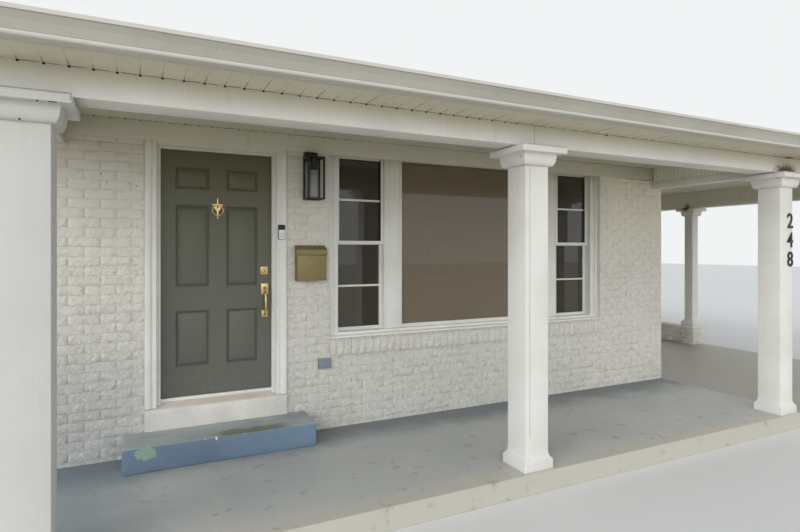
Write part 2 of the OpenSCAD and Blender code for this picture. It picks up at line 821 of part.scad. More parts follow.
porch_slab();
entry_step();
carport_slab();
house_floor();
front_wall_left();
front_wall_under_door();
front_wall_over_door();
front_wall_middle();
front_wall_under_window();
front_wall_over_window();
front_wall_right();
left_wall();
back_wall();
right_wall();
window_sill_bricks();
door_frame();
front_door();
door_hinges();
door_handle();
deadbolt();
knocker_plate();
knocker_ring();
front_window_frame();
front_window_sashes();
front_window_glass();
side_window_frames();
side_window_glass();
frieze_board();
porch_ceiling();
porch_beam();
porch_headers();
porch_columns();
carport_columns();
carport_low_wall();
carport_ceiling();
house_ceiling();
eave_soffit();
fascia();
gutter();
downspouts();
roof();
wall_lantern();
lantern_glass();
mailbox();
mailbox_lid();
doorbell();
outlet_cover();
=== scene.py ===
"""Looks of a small painted brick bungalow with a front porch and an open carport.

Every size is in metres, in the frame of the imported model: X runs right along the front,
Y runs into the house from the face of the front wall, and Z is up from the ground.
"""

from __future__ import annotations

import json
import logging
import math
import random
from dataclasses import dataclass, field
from enum import Enum
from typing import Iterable, Sequence

import bmesh
import bpy
from mathutils import Matrix, Vector, noise

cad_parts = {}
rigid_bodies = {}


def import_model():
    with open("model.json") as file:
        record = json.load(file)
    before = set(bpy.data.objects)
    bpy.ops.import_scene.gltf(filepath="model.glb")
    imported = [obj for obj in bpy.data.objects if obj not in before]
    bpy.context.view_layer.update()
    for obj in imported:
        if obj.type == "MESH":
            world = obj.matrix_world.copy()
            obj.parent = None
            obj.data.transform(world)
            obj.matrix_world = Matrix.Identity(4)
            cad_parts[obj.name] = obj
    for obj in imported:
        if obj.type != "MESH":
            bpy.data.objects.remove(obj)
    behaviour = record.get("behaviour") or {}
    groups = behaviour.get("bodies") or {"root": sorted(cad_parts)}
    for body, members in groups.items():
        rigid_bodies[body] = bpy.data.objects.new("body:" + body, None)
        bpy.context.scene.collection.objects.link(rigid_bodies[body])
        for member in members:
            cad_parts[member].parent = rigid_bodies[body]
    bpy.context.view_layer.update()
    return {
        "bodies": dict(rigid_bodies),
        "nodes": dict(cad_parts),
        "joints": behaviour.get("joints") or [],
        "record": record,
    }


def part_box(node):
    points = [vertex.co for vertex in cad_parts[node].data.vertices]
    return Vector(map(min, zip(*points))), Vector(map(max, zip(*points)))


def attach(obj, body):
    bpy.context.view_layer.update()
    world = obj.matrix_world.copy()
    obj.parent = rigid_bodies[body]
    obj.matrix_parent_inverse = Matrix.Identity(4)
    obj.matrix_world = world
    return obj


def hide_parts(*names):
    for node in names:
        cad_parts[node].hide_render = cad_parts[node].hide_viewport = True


LOG = logging.getLogger("bungalow")
MM = 0.001
HOUSE = "house"
LEAF = "front_door"
SEED = 7
OUT = (0, -1, 0)
IN = (0, 1, 0)
DOWN = (0, 0, -1)

Point = tuple[float, float, float]
Outline = Sequence[tuple[float, float]]
Material = bpy.types.Material


# Colour and node helpers


def srgb(code: str, alpha: float = 1.0) -> tuple[float, float, float, float]:
    """Turn an sRGB hex code into a linear colour.

    Args:
        code: Six hex digits after a hash mark.
        alpha: Opacity to put in the fourth place.

    Returns:
        Linear red, green, blue and alpha.
    """
    parts = [int(code[i:i + 2], 16) / 255 for i in (1, 3, 5)]
    linear = [p / 12.92 if p <= 0.04045 else ((p + 0.055) / 1.055) ** 2.4 for p in parts]
    return (linear[0], linear[1], linear[2], alpha)


def add_node(tree: bpy.types.NodeTree, kind: str, inputs: dict | None = None, **settings) -> bpy.types.Node:
    """Add a node with its settings, values and links.

    Args:
        tree: Shader or geometry node tree that gets the node.
        kind: Blender's name for the node type.
        inputs: Socket name or index, with a value or an output to link.
        **settings: Properties of the node itself.

    Returns:
        The new node.
    """
    node = tree.nodes.new(kind)
    for name, value in settings.items():
        setattr(node, name, value)
    for key, value in (inputs or {}).items():
        if isinstance(value, Value):
            value = value.socket
        if isinstance(value, bpy.types.NodeSocket):
            tree.links.new(value, node.inputs[key])
        else:
            node.inputs[key].default_value = value
    return node


@dataclass(frozen=True, eq=False)
class Value:
    """What comes out of a node. Numbers of this kind take part in ordinary sums."""

    tree: bpy.types.NodeTree
    socket: bpy.types.NodeSocket

    def math(self, operation: str, *others: float | Value) -> Value:
        """Return the result of one sum on this number and up to two others."""
        inputs = dict(enumerate((self, *others)))
        return Value(self.tree, add_node(self.tree, "ShaderNodeMath", inputs, operation=operation).outputs[0])

    def __add__(self, other: float | Value) -> Value:
        """Return the sum."""
        return self.math("ADD", other)

    def __sub__(self, other: float | Value) -> Value:
        """Return the difference."""
        return self.math("SUBTRACT", other)

    def __mul__(self, other: float | Value) -> Value:
        """Return the product."""
        return self.math("MULTIPLY", other)

    def __truediv__(self, other: float | Value) -> Value:
        """Return the quotient."""
        return self.math("DIVIDE", other)


class Graph:
    """A node tree that is built step by step."""

    def __init__(self, tree: bpy.types.NodeTree) -> None:
        """Start with nothing in the tree."""
        self.tree = tree
        tree.nodes.clear()

    def add(self, kind: str, inputs: dict | None = None, output: str | None = None, **settings) -> Value:
        """Add a node and return one of its outputs.

        Args:
            kind: Blender's name for the node type.
            inputs: Socket name or index, with a value or an output to link.
            output: Name of the output, or None for the first one that is switched on.
            **settings: Properties of the node itself.

        Returns:
            The output, ready for sums and for further nodes.
        """
        outputs = add_node(self.tree, kind, inputs, **settings).outputs
        return Value(self.tree, outputs[output] if output else next(s for s in outputs if s.enabled))


class Paint(Graph):
    """Shader graph of one finish, on Object coordinates."""

    def __init__(self, name: str) -> None:
        """Start an empty material of this name."""
        self.material = bpy.data.materials.new(name)
        self.material.use_nodes = True
        super().__init__(self.material.node_tree)
        self.place = self.add("ShaderNodeTexCoord", output="Object")

    def stretched(self, scale: Point, shift: Point = (0, 0, 0)) -> Value:
        """Return the place, scaled by a factor on each axis."""
        return self.add("ShaderNodeMapping", {0: self.place, "Location": shift, "Scale": scale})

    def diagonal(self, degrees: float, long: float) -> Value:
        """Return the place drawn out along a slanting line in X and Z."""
        inputs = {0: self.place, "Rotation": (0, math.radians(degrees), 0), "Scale": (1, 1, long)}
        return self.add("ShaderNodeMapping", inputs, vector_type="TEXTURE")

    def near(self, centre: Point, reach: Point) -> Value:
        """Return 0 at a point, growing to 1 at its reach along each axis. A reach of 0 leaves an axis out."""
        scale = tuple(1 / r if r else 0.0 for r in reach)
        shift = tuple(-c * s for c, s in zip(centre, scale))
        return self.add("ShaderNodeVectorMath", {0: self.stretched(scale, shift)}, operation="LENGTH")

    def noise(self, size: float, detail: float = 4, rough: float = 0.6, at: Value | None = None) -> Value:
        """Return cloudy noise from 0 to 1.

        Args:
            size: Width of the largest clouds in metres.
            detail: Number of finer layers.
            rough: Strength of the finer layers.
            at: Coordinates, the object's own if left out.

        Returns:
            The factor output of the noise.
        """
        inputs = {"Vector": at or self.place, "Scale": 1 / size, "Detail": detail, "Roughness": rough}
        return self.add("ShaderNodeTexNoise", inputs)

    def axis(self, name: str) -> Value:
        """Return the X, Y or Z of the place."""
        return self.add("ShaderNodeSeparateXYZ", {0: self.place}, name)

    def band(self, value: Value, low: float, high: float) -> Value:
        """Return a smooth step from 0 at low to 1 at high, which may also fall."""
        return self.add("ShaderNodeMapRange", {"Value": value, "From Min": low, "From Max": high},
                        interpolation_type="SMOOTHSTEP")

    def between(self, value: Value, low: float, high: float, soft: float) -> Value:
        """Return 1 where the value lies between two limits, with soft edges."""
        return self.band(value, low - soft, low + soft) * self.band(value, high + soft, high - soft)

    def mix(self, factor: float | Value, a: str | Value, b: str | Value) -> Value:
        """Return a blend of two colours, given as hex codes or outputs."""
        a, b = (srgb(c) if isinstance(c, str) else c for c in (a, b))
        return self.add("ShaderNodeMix", {0: factor, 6: a, 7: b}, data_type="RGBA")

    def bump(self, *layers: tuple[Value, float]) -> Value:
        """Return a normal bumped by height layers, each with its depth in metres."""
        inputs = {"Strength": 1.0}
        for height, depth in layers:
            inputs.update({"Height": height, "Distance": depth})
            inputs["Normal"] = self.add("ShaderNodeBump", inputs)
        return inputs["Normal"]

    def finish(self, color: Value, roughness: float | Value, normal: Value,
               **sockets: float | Value) -> Material:
        """Close the graph with one Principled surface.

        Args:
            color: Base colour.
            roughness: Roughness, plain or patterned.
            normal: Bumped normal.
            **sockets: Other sockets of the surface by name, with _ for a space.

        Returns:
            The finished material.
        """
        inputs = {"Base Color": color, "Roughness": roughness, "Normal": normal}
        inputs.update({name.replace("_", " "): value for name, value in sockets.items()})
        shader = self.add("ShaderNodeBsdfPrincipled", inputs)
        add_node(self.tree, "ShaderNodeOutputMaterial", {0: shader})
        return self.material


# Finishes, each named for what the real one is


@dataclass(frozen=True)
class PaintedMasonry:
    """Thick matt acrylic paint rolled over rough brick: chalky, uneven, with painted shade in the hollows."""

    name: str = "matt_paint_on_brick"
    color: str = "#DEDCD5"
    # worn is laid in the hollows between the lumps as painted shade
    worn: str = "#CECBC1"
    grime: str = "#B4AE9D"
    grit: float = 4 * MM
    pits: float = 16 * MM
    tooled: float = 1.0

    def build(self) -> Material:
        """Return the material."""
        p = Paint(self.name)
        fine = p.noise(self.grit, 3, 0.7)
        lumps = p.noise(self.pits, 3, 0.6)
        clouds = p.noise(0.55, 4, 0.55)
        speck = p.band(p.noise(12 * MM, 4, 0.75), 0.62, 0.74)
        color = p.mix(p.band(clouds, 0.35, 0.7), self.color, "#D7D5CD")
        # Painted shade: the worn colour darkens the hollows between the lumps
        color = p.mix(p.band(lumps, 0.52, 0.36) * 0.35, color, self.worn)
        color = p.mix(speck * 0.14, color, self.grime)
        splash = p.band(p.axis("Z"), 0.75, 0.12) * p.band(p.noise(0.16), 0.42, 0.66)
        color = p.mix(splash * 0.30, color, self.grime)
        # Painted shade under the porch ceiling: darker and browner high on the wall, fading out to the right
        high = p.band(p.axis("Z"), 2.05, 2.62) * p.band(p.axis("X"), 2.7, 1.3)
        color = p.mix(high * 0.35, color, "#B3AA97")
        # Painted light: the wall made paler and warmer high up on its right part
        painted_light = p.band(p.axis("Z"), 1.5, 2.2) * p.band(p.axis("X"), 2.1, 2.5)
        color = p.mix(painted_light * 0.55, color, "#F4EEDC")
        # Painted shade low on the wall, greyer as with the cool light off the porch floor, fading out to the
        # right
        low = p.band(p.axis("Z"), 1.6, 0.5) * p.band(p.axis("X"), 2.4, 1.0)
        color = p.mix(low * 0.28, color, "#B6B9B7")
        shaded = p.band(p.axis("Z"), 1.5, 0.3) * p.band(p.axis("X"), -2.0, -3.1)
        color = p.mix(shaded * 0.6, color, "#A0A4A5")
        # The dark and pale stroke colours are painted shade and highlight of the stroke ridges, strongest low
        # on the wall
        strokes = p.noise(13 * MM, 3, 0.6, p.diagonal(38, 2.6))
        depth = p.band(p.axis("Z"), 2.45, 1.5) * self.tooled
        color = p.mix(p.band(strokes, 0.50, 0.64) * depth * 0.30, color, "#94958F")
        color = p.mix(p.band(strokes, 0.44, 0.32) * depth * 0.40, color, "#F0EFEA")
        normal = p.bump((lumps, 2.4 * MM), (strokes, 2.6 * self.tooled * MM), (fine, 2.2 * MM))
        return p.finish(color, 0.86, normal, Specular_IOR_Level=0.25)


@dataclass(frozen=True)
class PaintedWood:
    """Brushed satin house paint on sawn softwood: faint long brush marks, soft dirt, hairline runs."""

    name: str
    color: str = "#E6E6E4"
    shade: str = "#DADAD5"
    along: Point = (1.0, 1.0, 1.0)
    roughness: float = 0.5
    dirt: float = 0.2
    top_shade: float = 0.6
    grooves: float = 0.0

    def build(self) -> Material:
        """Return the material."""
        p = Paint(self.name)
        brushed = p.stretched(self.along)
        strokes = p.noise(9 * MM, 4, 0.6, brushed)
        clouds = p.noise(0.5, 4, 0.5)
        streaks = p.noise(0.05, 3, 0.55, p.stretched((1, 1, 0.12)))
        color = p.mix(p.band(clouds, 0.3, 0.75), self.color, self.shade)
        # Painted shade: darker and yellower towards the ceiling, above 2.525 m
        color = p.mix(p.band(p.axis("Z"), 2.525, 2.67) * self.top_shade, color, "#BFBAA2")
        # Painted shade under the porch roof near the house wall, growing upwards from 1.5 m
        under = p.band(p.axis("Z"), 1.5, 2.6) * p.band(p.axis("Y"), -0.6, -0.3)
        color = p.mix(under * 0.25, color, "#B3AE93")
        # Painted shade on the left porch column below the beam
        left = p.band(p.axis("X"), -2.86, -2.90) * p.band(p.axis("Z"), 2.530, 2.524)
        color = p.mix(left * 0.6, color, "#B7B9B6")
        color = p.mix(p.band(streaks, 0.55, 0.8) * self.dirt, color, "#B3AA94")
        color = p.mix(p.band(p.noise(7 * MM, 2), 0.74, 0.82) * 0.5, color, "#8D8471")
        if self.grooves:
            # Painted shade in the V grooves between the narrow boards
            lane = ((p.axis("Y") - self.grooves / 2) / self.grooves).math("FRACT")
            seam = p.band((lane - 0.5).math("ABSOLUTE"), 0.44, 0.48)
            color = p.mix(seam * 0.3, color, "#6B6754")
        for stain in RUST_STAINS:
            color = stain.paint(p, color)
        rough = p.band(p.noise(0.08), -0.6, 1.5)
        normal = p.bump((strokes, 0.5 * MM), (clouds, 1.5 * MM))
        return p.finish(color, rough * 0.2 + (self.roughness - 0.1), normal)


@dataclass(frozen=True)
class RustStain:
    """Brown bleed of a rusting nail or plate, round one point of the painted trim."""

    centre: Point
    reach: Point

    def paint(self, p: Paint, color: Value) -> Value:
        """Return the colour with the stain laid over it."""
        ragged = p.near(self.centre, self.reach) + p.noise(0.035, 4, 0.7) * 0.9
        color = p.mix(p.band(ragged, 1.5, 0.95) * 0.60, color, "#9C7444")
        return p.mix(p.band(ragged, 1.15, 0.80) * 0.94, color, "#36200E")


RUST_STAINS = (
    RustStain((3.12, -1.553, 2.535), (0.24, 0.06, 0.125)),
    RustStain((3.14, -1.560, 2.682), (0.07, 0.06, 0.016)),
    RustStain((6.06, 1.70, 2.525), (0.15, 0.11, 0.11)),
)


@dataclass(frozen=True)
class Enamel:
    """Baked enamel on folded sheet: smooth, slightly glossy, with rain streaks and chalking."""

    name: str = "baked_enamel_on_sheet"
    color: str = "#B0AFA6"
    streak: str = "#8E8B7F"
    bead: tuple[float, float] = (2.660, 2.690)
    lip: float = 2.764

    def build(self) -> Material:
        """Return the material."""
        p = Paint(self.name)
        runs = p.noise(0.022, 3, 0.6, p.stretched((1, 1, 0.08)))
        clouds = p.noise(0.7, 4, 0.5)
        z = p.axis("Z")
        color = p.mix(p.band(clouds, 0.35, 0.75), self.color, "#A6A59B")
        color = p.mix(p.band(runs, 0.56, 0.78) * 0.42, color, self.streak)
        # Painted highlight on the lower bead and along the top of the lip
        pale = p.between(z, *self.bead, 1 * MM).math("MAXIMUM", p.band(z, self.lip, self.lip + 2 * MM))
        color = p.mix(pale * 0.75, color, "#CDCCC4")
        # Painted shadow line just over the bead
        seam = p.between(z, self.bead[1] + 1 * MM, self.bead[1] + 4 * MM, 0.7 * MM)
        color = p.mix(seam * 0.55, color, "#67645A")
        color = p.mix(p.band(p.noise(10 * MM, 3), 0.70, 0.80) * 0.4, color, "#77705C")
        normal = p.bump((clouds, 1.2 * MM), (p.noise(0.03, 2), 0.25 * MM))
        return p.finish(color, 0.42, normal)


@dataclass(frozen=True)
class DoorPaint:
    """Grey-green satin enamel sprayed on a steel door skin: even, with a fine orange peel."""

    name: str = "satin_enamel_on_steel_door"
    shade: str = "#54574B"
    face: float = 0.080
    back: float = 0.124

    def build(self) -> Material:
        """Return the material."""
        p = Paint(self.name)
        clouds = p.noise(0.45, 3, 0.5)
        # Painted shade: the leaf darker and more olive towards the top, under the porch roof
        height = p.band(p.axis("Z"), 2.75, 0.9)
        color = p.mix(height, "#58573B", "#5F625B")
        color = p.mix(p.band(clouds, 0.4, 0.75) * 0.35, color, self.shade)
        scuff = p.band(p.axis("Z"), 0.85, 0.58) * p.band(p.noise(0.05, 4, 0.7), 0.5, 0.7)
        color = p.mix(scuff * 0.3, color, "#7C7D73")
        # Painted shade in the deep grooves round the panels
        deep = p.between(p.axis("Y"), self.face + 9 * MM, self.back - 9 * MM, 2 * MM)
        panels = p.between(p.axis("X"), -2.40, -1.67, 0.01) * p.between(p.axis("Z"), 0.78, 2.475, 0.01)
        color = p.mix(deep * panels * 0.45, color, "#33352B")
        normal = p.bump((p.noise(3.5 * MM, 2), 0.12 * MM), (p.noise(0.12, 2), 0.8 * MM))
        return p.finish(color, 0.4, normal)


@dataclass(frozen=True)
class StepPaint:
    """Blue-grey masonry paint on a rendered step: worn through to older green and grey coats."""

    name: str = "masonry_paint_on_step"
    riser: str = "#687B90"
    tread: str = "#A3ABAB"
    old_green: str = "#6C725B"
    pale_green: str = "#829E8E"
    x0: float = -2.745
    x1: float = -1.313
    front: float = -0.369
    top: float = 0.337

    def build(self) -> Material:
        """Return the material."""
        p = Paint(self.name)
        x, y, z = (p.axis(a) for a in "XYZ")
        wobble = p.noise(0.06, 4, 0.65)
        clouds = p.noise(0.25, 4, 0.55)
        up = p.add("ShaderNodeNewGeometry", output="Normal")
        flat = p.band(p.add("ShaderNodeSeparateXYZ", {0: up}, "Z"), 0.45, 0.8)
        riser = p.mix(p.band(clouds, 0.35, 0.7), self.riser, "#5F7288")
        riser = p.mix(p.band(p.noise(0.02, 4, 0.7), 0.62, 0.72) * 0.5, riser, "#8895A0")
        riser = p.mix(p.band(x, -2.3, -1.4) * 0.6, riser, "#728DA3")
        tread = p.mix(p.band(clouds, 0.4, 0.65), self.tread, "#929CA0")
        tread = p.mix(p.band(p.noise(0.03, 4, 0.7), 0.55, 0.7) * 0.4, tread, "#A5A9A4")
        length = self.x1 - self.x0
        ragged = y + wobble * 0.16
        along = p.between(x, self.x0 + 0.47 * length, self.x0 + 0.82 * length, 0.07)
        patch = p.band(ragged, self.front + 0.225, self.front + 0.175) * along
        tread = p.mix(patch * 0.9, tread, self.old_green)
        color = p.mix(flat, riser, tread)
        # Pale green patch where the blue coat has come off near the left end of the riser
        spot = p.near((-2.597, 0, 0.290), (0.130, 0, 0.078)) + wobble * 0.8
        spot = spot + p.noise(0.018, 3, 0.7) * 0.4
        color = p.mix(p.band(spot, 1.26, 1.14) * p.band(y, -0.3, -0.36), color, self.pale_green)
        edge = p.band(z, self.top - 0.020, self.top - 0.004) * p.band(y, self.front + 0.03, self.front)
        chip = edge * p.band(p.noise(0.025, 3, 0.6), 0.64, 0.68)
        color = p.mix(chip * 0.7, color, "#BCBFB9")
        nick = p.near((-2.102, -0.37, 0.330), (0.007, 0.03, 0.018)) + wobble * 0.5
        color = p.mix(p.band(nick, 1.3, 1.1), color, "#DEDFDB")
        normal = p.bump((clouds, 4 * MM), (p.noise(0.012, 4, 0.7), 1.0 * MM), (wobble, 3 * MM))
        return p.finish(color, 0.55, normal)


@dataclass(frozen=True)
class FloorPaint:
    """Trowelled concrete slab under thin grey-blue floor paint: worn pale, with brown stains."""

    name: str = "painted_trowelled_concrete"
    color: str = "#B1B5B4"
    blue: str = "#636C73"
    bare: str = "#C4C0B5"
    stain: str = "#8C8470"
    second: str = "#BDBFBC"
    front: float = -1.6
    painted: bool = True

    def build(self) -> Material:
        """Return the material."""
        p = Paint(self.name)
        y = p.axis("Y")
        clouds = p.noise(0.6, 5, 0.6)
        fine = p.noise(5 * MM, 3, 0.7)
        ragged = y + p.noise(0.3, 4, 0.6) * 0.5
        color = p.mix(p.band(clouds, 0.35, 0.7), self.color, self.second)
        if self.painted:
            wall = p.band(ragged, -0.35, 0.15)
            color = p.mix(wall * 0.8, color, self.blue)
            left = p.band(p.axis("X") + p.noise(0.25, 4, 0.6) * 0.5, -2.15, -2.75)
            color = p.mix(left * 0.6, color, "#71818F")
            edge = p.band(ragged, self.front + 0.55, self.front + 0.28)
            color = p.mix(edge * 0.8, color, self.bare)
        spots = p.band(p.noise(0.11, 4, 0.6), 0.60, 0.70)
        color = p.mix(spots * 0.42, color, self.stain)
        color = p.mix(p.band(p.noise(0.018, 3, 0.6), 0.66, 0.74) * 0.35, color, "#6E6A5E")
        normal = p.bump((clouds, 3 * MM), (fine, 0.5 * MM))
        rough = clouds * 0.3 + 0.38
        return p.finish(color, rough, normal)


@dataclass(frozen=True)
class MineralShingle:
    """Asphalt shingle with pressed mineral granules: dark grey, speckled, matt."""

    name: str = "asphalt_shingle_granules"
    color: str = "#4C4B4A"
    light: str = "#585654"
    dark: str = "#3A393A"

    def build(self) -> Material:
        """Return the material. The granules, about 2 mm, are drawn at 6 mm so that they show."""
        p = Paint(self.name)
        grit = p.noise(6 * MM, 2, 0.7)
        patches = p.noise(0.3, 2, 0.5, p.stretched((1, 1, 3)))
        color = p.mix(p.band(patches, 0.35, 0.65), self.color, self.light)
        color = p.mix(p.band(grit, 0.45, 0.62), color, self.dark)
        color = p.mix(p.band(p.noise(0.9), 0.5, 0.75) * 0.4, color, "#5A5C50")
        normal = p.bump((grit, 1.2 * MM))
        return p.finish(color, 0.92, normal, Specular_IOR_Level=0.2)


@dataclass(frozen=True)
class Brass:
    """Cast and polished brass under old lacquer, or brass sheet left to go brown."""

    name: str
    color: str
    tarnish: str
    spread: float
    roughness: float

    def build(self) -> Material:
        """Return the material."""
        p = Paint(self.name)
        film = p.noise(0.03, 4, 0.65)
        color = p.mix(p.band(film, 0.75 - self.spread, 0.95 - self.spread), self.color, self.tarnish)
        rough = film * 0.25 + self.roughness
        normal = p.bump((p.noise(0.012, 3), 0.12 * MM))
        return p.finish(color, rough, normal, Metallic=0.92)


@dataclass(frozen=True)
class PowderCoat:
    """Black powder coat on steel bars, or moulded plastic: fine even texture."""

    name: str
    color: str
    roughness: float = 0.42
    grain: float = 1.5 * MM

    def build(self) -> Material:
        """Return the material."""
        p = Paint(self.name)
        dust = p.noise(0.05, 4, 0.6)
        color = p.mix(p.band(dust, 0.5, 0.8) * 0.10, self.color, "#6B6962")
        normal = p.bump((p.noise(self.grain, 2), 0.08 * MM))
        return p.finish(color, self.roughness, normal)


@dataclass(frozen=True)
class WindowGlass:
    """Float glass in front of a dim room: dark with the room's painted shade, mirror smooth, very slightly
    wavy.
    """

    name: str = "float_glass"
    alpha: float = 0.30
    dim: str = "#161A19"
    painted_light: str = "#161A19"
    painted_light_half: float = 0.0
    more: float = 0.0
    middle: float = 0.515

    def build(self) -> Material:
        """Return the material."""
        p = Paint(self.name)
        wave = p.noise(0.4, 1)
        normal = p.bump((wave, 0.5 * MM))
        # The dark tint and the high opacity are painted shade of the room behind; the paler warm tint of the
        # middle pane is painted light seen in the glass
        away = (p.axis("X") - self.middle).math("ABSOLUTE")
        side = p.band(away, self.painted_light_half, self.painted_light_half + 0.02)
        tint = p.mix(side, self.painted_light, self.dim)
        alpha = side * self.more + self.alpha
        return p.finish(tint, 0.02, normal, Alpha=alpha, IOR=1.52, Specular_IOR_Level=0.9)


@dataclass(frozen=True)
class FrostedLamp:
    """Acid-etched lamp glass with a weak lit look: soft, milky, with vertical shading."""

    name: str = "etched_lamp_glass"

    def build(self) -> Material:
        """Return the material."""
        p = Paint(self.name)
        color = p.mix(p.band(p.axis("Z"), 2.24, 2.44), "#C9CCC6", "#B4B7AF")
        normal = p.bump((p.noise(2 * MM, 2), 0.1 * MM))
        return p.finish(color, 0.45, normal, Transmission_Weight=0.25)


@dataclass(frozen=True)
class FloorBoards:
    """Oak strip floor under satin varnish: strips of 57 mm that run across the house."""

    name: str = "varnished_oak_strips"
    strip: float = 57 * MM

    def build(self) -> Material:
        """Return the material."""
        p = Paint(self.name)
        lane = p.axis("Y") / self.strip
        shade = p.add("ShaderNodeTexWhiteNoise", {"W": lane.math("FLOOR")}, noise_dimensions="1D")
        grain = p.noise(4 * MM, 4, 0.6, p.stretched((0.05, 1, 1)))
        color = p.mix(shade, "#7F5A38", "#94704A")
        color = p.mix(grain * 0.5, color, "#5F4026")
        seam = p.band((lane.math("FRACT") - 0.5).math("ABSOLUTE"), 0.47, 0.5)
        color = p.mix(seam, color, "#332214")
        return p.finish(color, 0.35, p.bump((seam, -0.6 * MM)))


class Finish(Enum):
    """Every finish of the house, with the recipe that builds it."""

    BRICK = PaintedMasonry()
    MORTAR = PaintedMasonry("matt_paint_on_mortar", "#E4E2DB", "#D3D0C6", "#B4AE9D", 2.5 * MM, 9 * MM)
    RENDER = PaintedMasonry("matt_paint_on_rendered_sill", "#F3EFE9", "#E6E1D8", "#C6BBAA", 4 * MM, 30 * MM,
                            0.2)
    TRIM_X = PaintedWood("satin_paint_on_wood_along_x", along=(0.05, 1, 1))
    TRIM_Y = PaintedWood("satin_paint_on_wood_along_y", along=(1, 0.05, 1))
    TRIM_Z = PaintedWood("satin_paint_on_wood_upright", along=(1, 1, 0.05))
    SOFFIT_Y = PaintedWood("cream_paint_on_boards_along_y", "#E3E0D1", "#D7D3C3", (1, 0.05, 1), 0.55, 0.3,
                           0.30)
    SOFFIT_X = PaintedWood("cream_paint_on_boards_along_x", "#E3E0D1", "#D7D3C3", (0.05, 1, 1), 0.55, 0.3,
                           0.30)
    CEILING = PaintedWood("grey_paint_on_ceiling_boards", "#D3D2C8", "#C8C6BA", (1, 0.05, 1), 0.55, 0.3, 0.1)
    # HEADER is a paler copy of the cream board paint: painted light on the dim faces of the headers
    HEADER = PaintedWood("cream_paint_on_upright_boards", "#F0EDE2", "#E6E2D5", (1, 1, 0.05), 0.55, 0.2,
                         0.15, 0.048)
    PLASTER = PaintedWood("matt_emulsion_on_plaster", "#CFCABC", "#C4BFB0", (1, 1, 1), 0.8, 0.0)
    SILL = PaintedWood("worn_paint_on_door_sill", "#D3CDC1", "#C1B8AA", (0.05, 1, 1), 0.6, 0.5)
    GUTTER = Enamel()
    DOOR = DoorPaint()
    STEP = StepPaint()
    PORCH = FloorPaint()
    CARPORT = FloorPaint("bare_trowelled_concrete", "#A6A39A", "#9A9A96", "#A9A697", "#857F72", "#AEABA2",
                         painted=False)
    SHINGLE = MineralShingle()
    POLISHED = Brass("lacquered_polished_brass", "#D2BC85", "#8F7648", 0.03, 0.18)
    AGED = Brass("brown_brass_sheet", "#928763", "#857B58", 0.22, 0.40)
    IRON = PowderCoat("black_powder_coat", "#0A0B0B")
    BELL_BLACK = PowderCoat("black_moulded_plastic", "#080808", 0.4)
    BELL_WHITE = PowderCoat("white_moulded_plastic", "#E8E9EA", 0.35)
    OUTLET = PowderCoat("blue_paint_on_cast_cover", "#7F8B98", 0.55, 3 * MM)
    # The window glasses carry painted shade of the rooms behind them, and GLASS painted light in its middle
    # pane
    GLASS = WindowGlass(alpha=0.55, dim="#3B372F", painted_light="#877A66", painted_light_half=0.9, more=0.30)
    SIDE_GLASS = WindowGlass("float_glass_before_dark_room", 0.96, "#2B2D2C", "#2B2D2C")
    LANTERN_GLASS = WindowGlass("clear_lantern_glass", 0.09, "#3A3C3A", "#3A3C3A")
    LAMP = FrostedLamp()
    OAK = FloorBoards()
    # Near-black finish for boxes and discs that stand for the shade in gaps, holes and joints: painted shade
    PAINTED_SHADE = PowderCoat("dark_painted_shade", "#14120F", 0.9)

    @property
    def material(self) -> Material:
        """Return the material, built the first time that it is asked for."""
        return bpy.data.materials.get(self.value.name) or self.value.build()


# Mesh helpers


